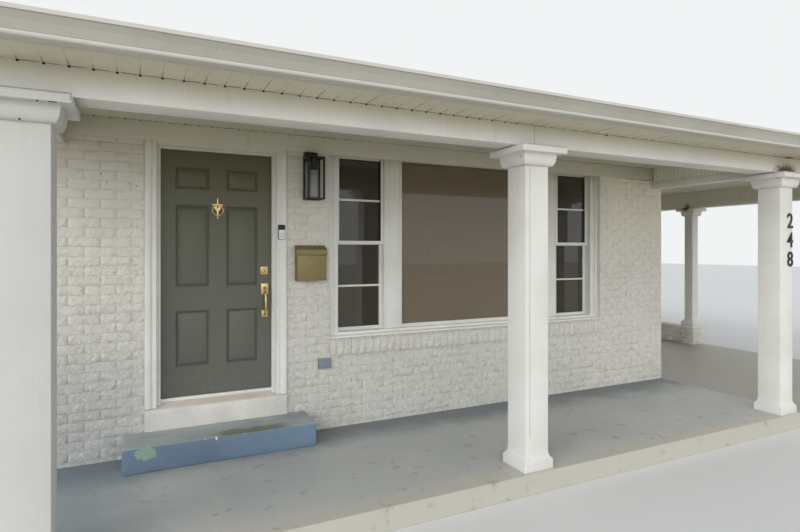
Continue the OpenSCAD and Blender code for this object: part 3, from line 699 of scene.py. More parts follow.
@dataclass
class Shape:
    """A growing mesh with one or more finishes."""

    name: str
    finishes: Sequence[Finish] = ()
    mesh: bmesh.types.BMesh = field(default_factory=bmesh.new)

    def box(self, low: Point, high: Point, bevel: float = 0.0, slot: int = 0) -> None:
        """Add a box with slightly rounded edges.

        Args:
            low: Lowest corner.
            high: Highest corner.
            bevel: Width of the rounding, or 0 for sharp edges.
            slot: Which finish of the shape it takes.
        """
        size = [h - l for l, h in zip(low, high)]
        middle = [(h + l) / 2 for l, h in zip(low, high)]
        place = Matrix.Translation(middle) @ Matrix.Diagonal((*size, 1))
        verts = bmesh.ops.create_cube(self.mesh, size=1, matrix=place)["verts"]
        for face in {f for v in verts for f in v.link_faces}:
            face.material_index = slot
        if bevel > 0:
            edges = list({e for v in verts for e in v.link_edges})
            made = bmesh.ops.bevel(self.mesh, geom=edges, offset=bevel, segments=2, profile=0.6,
                                   affect="EDGES")
            for face in made["faces"]:
                face.material_index = slot

    def face(self, points: Iterable[Point]) -> None:
        """Add one flat face."""
        self.mesh.faces.new([self.mesh.verts.new(p) for p in points])

    def skin(self, rings: Sequence[Sequence[Point]], slot: int = 0,
             ends: bool = True) -> list[list[bmesh.types.BMVert]]:
        """Join rings of points with faces, each to the next.

        Args:
            rings: Rings of the same number of points. A ring of one point makes a tip.
            slot: Which finish of the shape it takes.
            ends: Whether the first and the last ring are closed.

        Returns:
            The corners of each ring.
        """
        made = [[self.mesh.verts.new(p) for p in ring] for ring in rings]
        faces = []
        for a, b in zip(made, made[1:]):
            for k in range(max(len(a), len(b))):
                quad = (a[k % len(a)], a[(k + 1) % len(a)], b[(k + 1) % len(b)], b[k % len(b)])
                faces.append(self.mesh.faces.new(list(dict.fromkeys(quad))))
        if ends:
            faces += [self.mesh.faces.new(made[0][::-1]), self.mesh.faces.new(made[-1])]
        for face in faces:
            face.material_index = slot
        return made

    def sweep(self, path: Sequence[Point], profile: Outline, side: Point) -> None:
        """Carry a closed outline along straight runs that meet in mitres.

        Args:
            path: Corners of the run, all in one plane.
            profile: Outline as (outwards, along side) pairs, in metres.
            side: Direction that the second number of the outline goes in, square to the path.
        """
        points = [Vector(p) for p in path]
        up = Vector(side).normalized()
        ways = [(b - a).normalized() for a, b in zip(points, points[1:])]
        rings = []
        for point, before, after in zip(points, [ways[0], *ways], [*ways, ways[-1]]):
            out_a, out_b = before.cross(up), after.cross(up)
            out = (out_a + out_b) / (1 + out_a.dot(out_b))
            rings.append([point + out * u + up * v for u, v in profile])
        self.skin(rings)

    def lathe(self, axis: Point, start: Point, profile: Outline, steps: int = 24, slot: int = 0) -> None:
        """Turn an outline about an axis.

        Args:
            axis: Direction of the axis.
            start: Point of the axis that the outline starts from.
            profile: (radius, distance along the axis) pairs. A radius of 0 closes the end.
            steps: Number of sides.
            slot: Which finish of the shape it takes.
        """
        turn = Vector((0, 0, 1)).rotation_difference(Vector(axis)).to_matrix().to_4x4()
        place = Matrix.Translation(start) @ turn
        rings = []
        for radius, height in profile:
            angles = [2 * math.pi * k / steps for k in range(steps if radius else 1)]
            rings.append([place @ Vector((radius * math.cos(t), radius * math.sin(t), height))
                          for t in angles])
        self.skin(rings, slot, ends=False)

    def tube(self, path: Sequence[Point], radius: float | Sequence[float], sides: int = 12) -> None:
        """Add a round bar along a path of points, closed at both ends."""
        points = [Vector(p) for p in path]
        radii = [radius] * len(points) if isinstance(radius, float) else radius
        ways = [(b - a).normalized() for a, b in zip([points[0], *points], [*points[1:], points[-1]])]
        across = ways[0].orthogonal().normalized()
        rings = []
        for point, way, size in zip(points, ways, radii):
            across = (across - way * across.dot(way)).normalized()
            other = way.cross(across)
            rings.append([point + size * (across * math.cos(t) + other * math.sin(t))
                          for t in (2 * math.pi * k / sides for k in range(sides))])
        self.skin(rings)

    def take(self, mesh: bpy.types.Mesh, place: Matrix | None = None, slot: int | None = None) -> None:
        """Add a finished mesh and drop the original.

        Args:
            mesh: The mesh.
            place: Matrix that moves it first.
            slot: Which finish of the shape it takes, or None to keep its own.
        """
        if place is not None:
            mesh.transform(place)
        count = len(self.mesh.faces)
        self.mesh.from_mesh(mesh)
        bpy.data.meshes.remove(mesh)
        if slot is not None:
            self.mesh.faces.ensure_lookup_table()
            for face in self.mesh.faces[count:]:
                face.material_index = slot

    def prism(self, outline: Outline, x0: float, x1: float) -> None:
        """Add an outline in Y and Z, carried from x0 to x1."""
        self.take(prism("part", outline, x0, x1).data)

    def close(self, outwards: bool = True) -> bpy.types.Mesh:
        """Return the finished mesh, with its faces turned outwards unless they are right already."""
        if outwards:
            bmesh.ops.recalc_face_normals(self.mesh, faces=self.mesh.faces)
        data = bpy.data.meshes.new(self.name)
        self.mesh.to_mesh(data)
        self.mesh.free()
        return data

    def settle(self, body: str, replaces: Iterable[str] = (), smooth: float | None = None,
               outwards: bool = True) -> None:
        """Turn the shape into a piece of the house.

        Args:
            body: Body that the piece moves with.
            replaces: CAD nodes that the piece stands for.
            smooth: Largest angle in degrees over which the shading is smooth, or None for flat.
            outwards: Whether the faces are turned outwards again.
        """
        data = self.close(outwards)
        for finish in self.finishes:
            data.materials.append(finish.material)
        if smooth is not None:
            data.shade_smooth()
            data.set_sharp_from_angle(angle=math.radians(smooth))
        piece = bpy.data.objects.new(self.name, data)
        bpy.context.scene.collection.objects.link(piece)
        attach(piece, body)
        if replaces:
            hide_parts(*replaces)
        LOG.info("%s: %d faces on %s", self.name, len(data.polygons), body)


def solid(name: str, ends: Sequence[Sequence[Point]]) -> bpy.types.Object:
    """Return an object not in the scene: the closed solid between two outlines of as many points."""
    shape = Shape(name)
    shape.skin(ends)
    return bpy.data.objects.new(name, shape.close())


def prism(name: str, outline: Outline, x0: float, x1: float) -> bpy.types.Object:
    """Return an object not in the scene: an outline in Y and Z carried from x0 to x1."""
    return solid(name, [[(x, y, z) for y, z in outline] for x in (x0, x1)])


def facing(direction: Point, origin: Point) -> Matrix:
    """Return the placement of a wall drawn in X and Z that looks towards -Y.

    Args:
        direction: Outward direction of the real wall.
        origin: Where the drawing's origin goes.

    Returns:
        A matrix that turns the drawing about Z and moves it.
    """
    angle = math.atan2(direction[1], direction[0]) + math.pi / 2
    return Matrix.Translation(origin) @ Matrix.Rotation(angle, 4, "Z")


# Geometry Nodes


class Grower(Graph):
    """A Geometry Nodes tree with named inputs, run once for each set of values."""

    def __init__(self, name: str, **inputs: str) -> None:
        """Start a tree whose inputs are given as name and socket type, with a material besides."""
        super().__init__(bpy.data.node_groups.new(name, "GeometryNodeTree"))
        self.ids = {}
        for label, kind in {**inputs, "Material": "Material"}.items():
            socket = self.tree.interface.new_socket(label, in_out="INPUT", socket_type="NodeSocket" + kind)
            self.ids[label] = socket.identifier
        self.tree.interface.new_socket("Geometry", in_out="OUTPUT", socket_type="NodeSocketGeometry")
        outputs = add_node(self.tree, "NodeGroupInput").outputs
        *self.inputs, self.material = (Value(self.tree, outputs[label]) for label in self.ids)

    def random(self, low: float, high: float, seed: Value) -> Value:
        """Return a random number for each element."""
        return self.add("FunctionNodeRandomValue", {2: low, 3: high, 8: seed}, data_type="FLOAT")

    def vector(self, x: float | Value, y: float | Value, z: float | Value) -> Value:
        """Return a vector made of three values."""
        return self.add("ShaderNodeCombineXYZ", {0: x, 1: y, 2: z})

    def lay(self, points: Value, at: Value, size: Value, narrow: tuple[Value, float], shape: Value,
            inputs: dict | None = None) -> Grower:
        """Put a shape on every point and end the tree, with real faces and one material.

        Args:
            points: The points, in any place.
            at: Where each one goes.
            size: Scale of the shape on it.
            narrow: Width of each shape, and the least one that is laid.
            shape: What is laid.
            inputs: Other inputs of the node that lays it.

        Returns:
            This tree.
        """
        # Place and size are fields of the index, so they are stored before any point is deleted
        placed = self.add("GeometryNodeSetPosition", {0: points, "Position": at})
        stored = self.add("GeometryNodeStoreNamedAttribute", {0: placed, "Name": "size", "Value": size},
                          data_type="FLOAT_VECTOR", domain="POINT")
        thin = self.add("FunctionNodeCompare", dict(enumerate(narrow)), data_type="FLOAT",
                        operation="LESS_THAN")
        kept = self.add("GeometryNodeDeleteGeometry", {0: stored, "Selection": thin}, domain="POINT")
        scale = self.add("GeometryNodeInputNamedAttribute", {"Name": "size"}, data_type="FLOAT_VECTOR")
        laid = self.add("GeometryNodeInstanceOnPoints",
                        {"Points": kept, "Instance": shape, "Scale": scale, **(inputs or {})})
        real = self.add("GeometryNodeRealizeInstances", {0: laid})
        dressed = self.add("GeometryNodeSetMaterial", {0: real, "Material": self.material})
        add_node(self.tree, "NodeGroupOutput", {0: dressed})
        return self

    def run(self, **values) -> bpy.types.Mesh:
        """Run the tree with these values and return a plain mesh.

        Args:
            **values: Input values by name.

        Returns:
            A mesh that belongs to nothing yet.
        """
        holder = bpy.data.objects.new("holder", bpy.data.meshes.new("holder"))
        bpy.context.scene.collection.objects.link(holder)
        modifier = holder.modifiers.new("grow", "NODES")
        modifier.node_group = self.tree
        for label, value in values.items():
            modifier[self.ids[label]] = value
        depsgraph = bpy.context.evaluated_depsgraph_get()
        mesh = bpy.data.meshes.new_from_object(holder.evaluated_get(depsgraph), depsgraph=depsgraph)
        holder.modifiers.remove(modifier)
        bpy.data.objects.remove(holder)
        return mesh


@dataclass
class BrickField:
    """Running bond of bricks that fills a rectangle of a wall drawn in X and Z.

    Each brick is one of a few hand-moulded shapes, cut to the edge of its rectangle.
    Courses and upright joints are counted from the origin, so that fields line up.
    """

    course: float = 73.0 * MM
    module: float = 214.0 * MM
    joint: float = 6.5 * MM
    end_joint: float = 4.0 * MM
    proud: float = 4.5 * MM
    buried: float = 6 * MM
    kinds: int = 8
    least: float = 16 * MM
    tilt: float = 0.006
    rim: float = 1.6 * MM

    def moulds(self, label: str, across: int, up: int, rough: float, seed: int) -> bpy.types.Collection:
        """Make the brick shapes, each 1 x 1 in X and Z with its face at Y = 0.

        Args:
            label: Name of the collection.
            across: Number of face quads along X.
            up: Number of face quads along Z.
            rough: How far the face and edges wander, in metres.
            seed: Seed of the shapes.

        Returns:
            A collection that isn't in the scene.
        """
        rng = random.Random(seed)
        group = bpy.data.collections.new(label)
        long, high = self.module - self.end_joint, self.course - self.joint
        for k in range(self.kinds):
            shape = Shape(f"{label}_{k}")
            mesh = shape.mesh
            drift = Vector([rng.uniform(-50, 50) for _ in range(3)])
            xs, zs = ([-0.5, -0.5 + self.rim / size] + [i / parts - 0.5 for i in range(1, parts)]
                      + [0.5 - self.rim / size, 0.5] for size, parts in ((long, across), (high, up)))
            grid = []
            for j, z in enumerate(zs):
                row = []
                for i, x in enumerate(xs):
                    on_bed = j in (0, len(zs) - 1)
                    on_rim = on_bed or i in (0, len(xs) - 1)
                    p = Vector((x * long, 0, z * high))
                    y = (2.4 * MM if on_bed else 1.2 * MM) if on_rim else 0.0
                    wave = 0.35 * noise.noise(p / 0.06 + drift) + 0.65 * noise.noise(p / 0.021 + drift)
                    y += rough * wave * (0.6 if on_rim else 1.0)
                    dx = rough * 0.9 * noise.noise(p / 0.03 + drift.zxy) if on_rim else 0
                    dz = rough * 0.9 * noise.noise(p / 0.03 + drift.yzx) if on_rim else 0
                    row.append(mesh.verts.new((x + dx / long, y, z + dz / high)))
                grid.append(row)
            for j in range(len(zs) - 1):
                for i in range(len(xs) - 1):
                    mesh.faces.new((grid[j][i], grid[j][i + 1], grid[j + 1][i + 1], grid[j + 1][i]))
            rim_edges = [e for e in mesh.edges if e.is_boundary]
            skirt = bmesh.ops.extrude_edge_only(mesh, edges=rim_edges)
            for vert in (v for v in skirt["geom"] if isinstance(v, bmesh.types.BMVert)):
                vert.co.y = self.proud + self.buried
            bmesh.ops.holes_fill(mesh, edges=[e for e in mesh.edges if e.is_boundary])
            data = shape.close()
            data.shade_smooth()
            group.objects.link(bpy.data.objects.new(shape.name, data))
        return group

    def grower(self) -> Grower:
        """Return the tree that lays the bricks of one rectangle."""
        g = Grower("brick_field", X0="Float", X1="Float", Z0="Float", Z1="Float", Shift="Float",
                   Bricks="Collection", Seed="Int")
        x0, x1, z0, z1, shift, bricks, seed = g.inputs
        first_row = (z0 / self.course).math("FLOOR")
        rows = (z1 / self.course).math("CEIL") - first_row + 1.0
        first_col = (x0 / self.module).math("FLOOR") - 1.0
        cols = ((x1 - x0) / self.module).math("CEIL") + 3.0
        index = g.add("GeometryNodeInputIndex")
        row = ((index + 0.5) / cols).math("FLOOR") + first_row
        col = index.math("FLOORED_MODULO", cols) + first_col
        odd = row.math("FLOORED_MODULO", 2.0)
        start = (col + odd * 0.5) * self.module + shift
        low = row * self.course
        left = start.math("MAXIMUM", x0)
        right = (start + (self.module - self.end_joint)).math("MINIMUM", x1)
        bottom = low.math("MAXIMUM", z0)
        top = (low + (self.course - self.joint)).math("MINIMUM", z1)
        width, height = right - left, top - bottom
        out = g.random(-self.proud * 1.15, -self.proud * 0.85, seed)
        return g.lay(
            points=g.add("GeometryNodePoints", {0: rows * cols}),
            at=g.vector((left + right) / 2.0, out, (bottom + top) / 2.0),
            size=g.vector(width, 1.0, height),
            narrow=(width.math("MINIMUM", height), self.least),
            shape=g.add("GeometryNodeCollectionInfo",
                        {0: bricks, "Separate Children": True, "Reset Children": True}),
            inputs={"Pick Instance": True,
                    "Instance Index": g.add("FunctionNodeRandomValue", {4: 0, 5: self.kinds - 1, 8: seed},
                                            data_type="INT"),
                    "Rotation": g.vector(0.0, g.random(-self.tilt, self.tilt, seed), 0.0)})


@dataclass
class BoardField:
    """Boards side by side with V joints between them, drawn in X with their length along Z.

    The face looks towards -Y. Boards at the ends are cut to the rectangle.
    """

    pitch: float = 106 * MM
    groove: float = 4.0 * MM
    thick: float = 9 * MM

    def grower(self) -> Grower:
        """Return the tree that lays the boards of one rectangle."""
        g = Grower("board_field", X0="Float", X1="Float", Z0="Float", Z1="Float", Pitch="Float",
                   Board="Object", Seed="Int")
        x0, x1, z0, z1, pitch, board, seed = g.inputs
        start = (g.add("GeometryNodeInputIndex") + (x0 / pitch).math("FLOOR")) * pitch
        left = start.math("MAXIMUM", x0)
        right = (start + pitch).math("MINIMUM", x1)
        width = right - left
        return g.lay(
            points=g.add("GeometryNodePoints", {0: ((x1 - x0) / pitch).math("CEIL") + 1.0}),
            at=g.vector((left + right) / 2.0, g.random(-0.4 * MM, 0.4 * MM, seed), (z0 + z1) / 2.0),
            size=g.vector(width, 1.0, z1 - z0),
            narrow=(width, 2 * self.groove),
            shape=g.add("GeometryNodeObjectInfo", {0: board}, "Geometry"))

    def board(self) -> bpy.types.Object:
        """Return one board, 1 x 1 in X and Z, with chamfered long edges and its face at Y = 0."""
        cut = self.groove / 2 / self.pitch
        outline = [(-0.5, self.thick), (-0.5, self.groove / 2), (-0.5 + cut, 0), (0.5 - cut, 0),
                   (0.5, self.groove / 2), (0.5, self.thick)]
        return solid("board", [[(x, y, z) for x, y in outline] for z in (-0.5, 0.5)])


@dataclass
class ShingleField:
    """Three-tab shingles on one slope, drawn in X along the eave and Z up the slope."""

    exposure: float = 143 * MM
    tab: float = 305 * MM
    slot: float = 8 * MM
    butt: float = 6 * MM
    lap: float = 22 * MM
    least: float = 30 * MM

    def grower(self) -> Grower:
        """Return the tree that lays the tabs of one slope, which narrows towards its top."""
        g = Grower("shingle_field", Length="Float", Rise="Float", Narrowing="Float", Tab="Object", Seed="Int")
        length, rise, narrowing, tab, seed = g.inputs
        rows = (rise / self.exposure).math("FLOOR")
        cols = (length / self.tab).math("CEIL") + 2.0
        index = g.add("GeometryNodeInputIndex")
        row = ((index + 0.5) / cols).math("FLOOR")
        up = row * self.exposure
        limit = (up + self.exposure) * narrowing
        stagger = (row * 0.5).math("FLOORED_MODULO", 1.0) * self.tab
        start = (index.math("FLOORED_MODULO", cols) - 1.0) * self.tab + stagger
        left = start.math("MAXIMUM", limit)
        right = (start + (self.tab - self.slot)).math("MINIMUM", length - limit)
        width = right - left
        return g.lay(
            points=g.add("GeometryNodePoints", {0: rows * cols}),
            at=g.vector((left + right) / 2.0, g.random(-0.6 * MM, 0.6 * MM, seed), up),
            size=g.vector(width, 1.0, 1.0),
            narrow=(width, self.least),
            shape=g.add("GeometryNodeObjectInfo", {0: tab}, "Geometry"))

    def template(self) -> bpy.types.Object:
        """Return one tab, 1 wide in X, thick at its butt and thin where the next course covers it."""
        return prism("shingle_tab", [(-self.butt, 0), (-2 * MM, self.exposure + self.lap),
                                     (0, self.exposure + self.lap), (0, 0)], -0.5, 0.5)


# Sub-assemblies


@dataclass(frozen=True)
class WallFace:
    """One face of a brick wall, with the rectangles that its bricks fill."""

    outward: Point
    origin: Point
    fields: tuple[tuple[float, float, float, float], ...]




@dataclass
class Brickwork:
    """Painted brick on every outer face of the walls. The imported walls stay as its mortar."""

    bricks: BrickField = field(default_factory=BrickField)
    eave: float = 2.68
    side_window_half: float = 0.51
    side_sill: float = 1.13
    side_head: float = 2.56
    left_windows: tuple[float, ...] = (1.85, 5.25)
    right_windows: tuple[float, ...] = (2.3, 5.4)
    back_windows: tuple[float, ...] = (-1.7, 1.5)
    pedestal_half: float = 0.12
    low_wall_half: float = 0.095
    coping_under: float = 0.365
    pedestal_top: float = 0.381
    post_ys: tuple[float, ...] = (1.707, 4.407, 7.08)
    post_x: float = 6.248
    lift: float = 0.039
    shift: float = 0.100
    render_band: float = 0.106

    def around(self, wall: tuple[float, float, float, float], windows: Iterable[float]) -> tuple:
        """Split a wall into rectangles beside, under and over its windows.

        Args:
            wall: The wall as (x0, x1, z0, z1).
            windows: Middle of each window.

        Returns:
            Rectangles as (x0, x1, z0, z1).
        """
        x0, x1, z0, z1 = wall
        low, high = self.side_sill, self.side_head
        parts = [(x0, x1, z0, low), (x0, x1, high, z1)]
        edge = x0
        for middle in sorted(windows):
            parts.append((edge, middle - self.side_window_half, low, high))
            edge = middle + self.side_window_half
        return (*parts, (edge, x1, low, high))

    def house_faces(self) -> dict[str, list[WallFace]]:
        """Return the faces of the four house walls by piece."""
        left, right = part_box("front_wall_left")[0].x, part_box("front_wall_right")[1].x
        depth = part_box("back_wall")[1].y
        door_low, door_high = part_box("door_frame")
        sill_low, sill_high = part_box("window_sill_bricks")
        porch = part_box("porch_slab")[1].z
        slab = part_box("carport_slab")[1].z
        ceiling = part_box("porch_ceiling")[0].z
        under_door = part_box("front_wall_under_door")[1].z - self.render_band
        front = ((left, door_low.x, porch, ceiling), (door_low.x, door_high.x, porch, under_door),
                 (door_high.x, sill_low.x, porch, ceiling), (sill_low.x, sill_high.x, porch, sill_low.z),
                 (sill_high.x, right, porch, ceiling))
        left_fields = self.around((-depth, 0, 0, self.eave), (-y for y in self.left_windows))
        right_fields = self.around((0, depth, slab, ceiling), self.right_windows)
        back_fields = self.around((left, right, 0, self.eave), (-x for x in self.back_windows))
        return {
            "front_brickwork": [WallFace(OUT, (0, 0, 0), front)],
            "left_brickwork": [WallFace((-1, 0, 0), (left, 0, 0), left_fields)],
            "right_brickwork": [WallFace((1, 0, 0), (right, 0, 0), right_fields)],
            "back_brickwork": [WallFace(IN, (0, depth, 0), back_fields)],
        }

    def low_wall_faces(self) -> list[WallFace]:
        """Return the faces of the low wall beside the carport and of its pedestals."""
        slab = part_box("carport_slab")[1].z
        half, faces = self.pedestal_half, []
        for y in self.post_ys:
            for outward in ((1, 0, 0), (-1, 0, 0), OUT, IN):
                middle = Vector((self.post_x, y, 0)) + Vector(outward) * half
                faces.append(WallFace(outward, tuple(middle), ((-half, half, slab, self.pedestal_top),)))
        for a, b in zip(self.post_ys, self.post_ys[1:]):
            run = (b - a) / 2 - half
            for side in (1, -1):
                middle = (self.post_x + side * self.low_wall_half, (a + b) / 2, 0)
                faces.append(WallFace((side, 0, 0), middle, ((-run, run, slab, self.coping_under),)))
        return faces

    def build(self) -> None:
        """Lay the bricks of every wall."""
        tree = self.bricks.grower()
        fine = self.bricks.moulds("face_brick", 6, 2, 2.2 * MM, SEED)
        plain = self.bricks.moulds("side_brick", 2, 1, 1.8 * MM, SEED + 1)
        walls = self.house_faces()
        walls["low_wall_brickwork"] = self.low_wall_faces()
        for k, (name, faces) in enumerate(walls.items()):
            shape = Shape(name, [Finish.BRICK])
            moulds = fine if name == "front_brickwork" else plain
            for i, face in enumerate(faces):
                place = facing(face.outward, face.origin) @ Matrix.Translation((0, 0, self.lift))
                for j, (x0, x1, z0, z1) in enumerate(face.fields):
                    mesh = tree.run(X0=x0, X1=x1, Z0=z0 - self.lift, Z1=z1 - self.lift, Shift=self.shift,
                                    Bricks=moulds, Seed=SEED + 100 * k + 10 * i + j,
                                    Material=Finish.BRICK.material)
                    shape.take(mesh, place)
            shape.settle(HOUSE, smooth=50, outwards=False)
        for node in ("front_wall_left", "front_wall_under_door", "front_wall_over_door", "front_wall_middle",
                     "front_wall_under_window", "front_wall_over_window", "front_wall_right",
                     "left_wall", "back_wall", "right_wall", "window_sill_bricks"):
            dress(node, Finish.MORTAR)


@dataclass
class SillBricks:
    """Bricks on edge that slope outwards under the front windows."""

    pitch: float = 73.0 * MM
    joint: float = 0.11
    proud: float = 6 * MM
    low: float = 0.812
    nose: float = 0.938
    back: float = 0.969
    back_y: float = 0.048
    rounding: float = 2.5 * MM
    rough: float = 1.6 * MM

    def build(self) -> None:
        """Lay the row of bricks."""
        low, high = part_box("window_sill_bricks")
        front = low.y - self.proud
        half = 0.5 - self.joint / 2
        outline = [(front + 3 * MM, self.low), (front, self.low + 4 * MM), (front, self.nose - 6 * MM),
                   (front + 5 * MM, self.nose + 2 * MM), (self.back_y, self.back + 4 * MM),
                   (self.back_y, self.low)]
        mesh = BoardField().grower().run(X0=low.x, X1=high.x, Z0=-0.5, Z1=0.5, Pitch=self.pitch, Seed=SEED,
                                         Board=prism("sill_brick", outline, -half, half),
                                         Material=Finish.BRICK.material)
        shape = Shape("window_sill_brick_row", [Finish.BRICK])
        shape.take(mesh)
        row = shape.mesh
        sharp = [e for e in row.edges if len(e.link_faces) == 2 and e.calc_face_angle(0) > 0.6]
        bmesh.ops.bevel(row, geom=sharp, offset=self.rounding, segments=1, affect="EDGES")
        noise.seed_set(SEED)
        for vert in row.verts:
            vert.co += self.rough * noise.noise_vector(vert.co / 0.03)
        shape.settle(HOUSE, smooth=40)


@dataclass
class Boarding:
    """Tongue-and-groove boards of the eaves, the two ceilings and the headers."""

    boards: BoardField = field(default_factory=BoardField)
    narrow: BoardField = field(default_factory=lambda: BoardField(48 * MM, 8.5 * MM))
    shift: float = 25 * MM
    proud: float = 5 * MM
    trim_top: float = 2.6
    trim_out: float = 12 * MM
    column: float = 0.21
    header_inner: float = 3.132
    header_outer: float = 3.229

    def build(self) -> None:
        """Lay all boards."""
        self.tree, self.board = self.boards.grower(), self.boards.board()
        self.eaves()
        self.ceilings()
        self.headers()

    def lay(self, shape: Shape, place: Matrix, rect: tuple, finish: Finish, pitch: float,
            slot: int = 0) -> None:
        """Add the boards of one rectangle to a shape."""
        x0, x1, z0, z1 = rect
        mesh = self.tree.run(X0=x0 - self.shift, X1=x1 - self.shift, Z0=z0, Z1=z1, Pitch=pitch,
                             Board=self.board, Seed=SEED, Material=finish.material)
        shape.take(mesh, place @ Matrix.Translation((self.shift, 0, 0)), slot)

    def eaves(self) -> None:
        """Board the underside of the eaves, across the run on every side."""
        low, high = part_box("eave_soffit")
        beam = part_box("porch_beam")
        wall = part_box("back_wall")
        under = Matrix.Translation((0, 0, low.z - 1 * MM))
        flat = Matrix.Rotation(math.pi / 2, 4, "X")
        along_y = under @ flat
        along_x = under @ Matrix.Rotation(math.pi / 2, 4, "Z") @ flat
        shape = Shape("eave_boards", [Finish.SOFFIT_Y, Finish.SOFFIT_X])
        for rect in ((low.x, high.x, -beam[0].y, -low.y), (low.x, high.x, -high.y, -wall[1].y)):
            self.lay(shape, along_y, rect, Finish.SOFFIT_Y, self.boards.pitch)
        for rect in ((beam[0].y, 0, low.x, beam[0].x), (0, wall[1].y, low.x, wall[0].x),
                     (beam[0].y, wall[1].y, beam[1].x, high.x)):
            self.lay(shape, along_x, rect, Finish.SOFFIT_X, self.boards.pitch, 1)
        shape.settle(HOUSE, ["eave_soffit"])

    def ceilings(self) -> None:
        """Board the ceilings of the porch and the carport."""
        for node in ("porch_ceiling", "carport_ceiling"):
            low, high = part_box(node)
            place = Matrix.Translation((0, 0, low.z)) @ Matrix.Rotation(math.pi / 2, 4, "X")
            shape = Shape(f"{node}_boards", [Finish.CEILING])
            rects = [(low.x, high.x, -min(high.y, 0), -low.y)]
            if high.y > 0:
                rects.append((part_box("right_wall")[1].x, high.x, -high.y, 0))
            for rect in rects:
                self.lay(shape, place, rect, Finish.CEILING, self.boards.pitch)
            shape.settle(HOUSE, [node])

    def headers(self) -> None:
        """Board the faces of the headers, over a smooth trim."""
        left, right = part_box("porch_headers")
        beam_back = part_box("porch_beam")[1].y
        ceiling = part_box("porch_ceiling")[0].z
        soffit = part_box("eave_soffit")[0].z
        side, wall = right.x - self.column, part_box("right_wall")[1].x
        back = right.y - self.column
        beam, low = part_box("porch_beam")[0].z, left.z
        faces = (
            ((-1, 0, 0), (self.header_inner, 0, 0), 0.02, -beam_back, beam, ceiling),
            ((1, 0, 0), (self.header_outer, 0, 0), beam_back, 0.0, beam, ceiling),
            ((-1, 0, 0), (side, 0, 0), -back, -beam_back, low, ceiling),
            ((1, 0, 0), (right.x, 0, 0), beam_back, right.y, low, soffit),
            (OUT, (0, back, 0), wall, side, low, ceiling),
            (IN, (0, right.y, 0), -right.x, -wall, low, soffit),
        )
        self.board = self.narrow.board()
        shape = Shape("header_boards", [Finish.HEADER, Finish.TRIM_Y])
        for outward, origin, x0, x1, foot, top in faces:
            place = facing(outward, tuple(Vector(origin) + Vector(outward) * self.proud))
            self.lay(shape, place, (x0, x1, self.trim_top, top), Finish.HEADER, self.narrow.pitch)
            trim = Shape("trim")
            trim.box((x0, self.proud - self.trim_out, foot),
                     (x1, self.proud + 1 * MM, self.trim_top + 4 * MM), 1.5 * MM)
            shape.take(trim.close(outwards=False), place, 1)
        shape.settle(HOUSE)


@dataclass
class Roof:
    """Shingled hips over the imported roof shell, with caps on the hips and the ridge."""

    shingles: ShingleField = field(default_factory=ShingleField)
    lip: float = 0.010
    cap_half: float = 0.135
    cap_step: float = 0.143
    cap_length: float = 0.20
    cap_lifts: tuple[float, float] = (11 * MM, 5 * MM)
    cap_thick: float = 5 * MM

    def build(self) -> None:
        """Cover the four slopes and cap their meeting lines."""
        low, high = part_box("roof")
        eave = low.z + self.lip
        run = (high.y - low.y) / 2
        rise = high.z - eave
        slope = math.hypot(run, rise)
        up_run, up_rise = run / slope, rise / slope
        corners = [Vector((x, y, eave)) for x, y in
                   ((low.x, low.y), (high.x, low.y), (high.x, high.y), (low.x, high.y))]
        tree, tab = self.shingles.grower(), self.shingles.template()
        shape = Shape("roof_shingles", [Finish.SHINGLE])
        normals = []
        for i, corner in enumerate(corners):
            across = (corners[(i + 1) % 4] - corner)
            length = across.length
            across.normalize()
            inward = Vector((-across.y, across.x, 0))
            up = inward * up_run + Vector((0, 0, up_rise))
            normals.append(across.cross(up))
            place = Matrix.Translation(corner) @ Matrix((across, up.cross(across), up)).transposed().to_4x4()
            shape.take(tree.run(Length=length, Rise=slope, Narrowing=up_run, Tab=tab, Seed=SEED + i,
                                Material=Finish.SHINGLE.material), place)
        shape.settle(HOUSE, outwards=False)
        ridge_low, ridge_high = (Vector((x, low.y + run, high.z)) for x in (low.x + run, high.x - run))
        caps = Shape("hip_and_ridge_caps", [Finish.SHINGLE])
        for start, end, a, b in ((ridge_low, ridge_high, 2, 0), (corners[0], ridge_low, 3, 0),
                                 (corners[1], ridge_high, 0, 1), (corners[2], ridge_high, 1, 2),
                                 (corners[3], ridge_low, 2, 3)):
            self.cap(caps, start, end, normals[a], normals[b])
        caps.settle(HOUSE)
        dress("roof", Finish.SHINGLE)

    def cap(self, shape: Shape, start: Vector, end: Vector, first: Vector, second: Vector) -> None:
        """Lay folded caps from start to end, over the line where two slopes meet."""
        way = (end - start).normalized()
        up = (first + second).normalized()
        across = up.cross(way).normalized()
        sides = []
        for normal in (first, second):
            side = way.cross(normal).normalized()
            sides.append(side if side.dot(across) * (1 if not sides else -1) > 0 else -side)
        low, high = (up * lift for lift in self.cap_lifts)
        for i in range(int((end - start).length / self.cap_step)):
            at = start + way * (i * self.cap_step)
            top = at + way * self.cap_length
            for side in sides:
                edge = side * self.cap_half
                outer = [at + low, at + edge + low, top + edge + high, top + high]
                shape.skin([outer, [p - up * self.cap_thick for p in outer]])


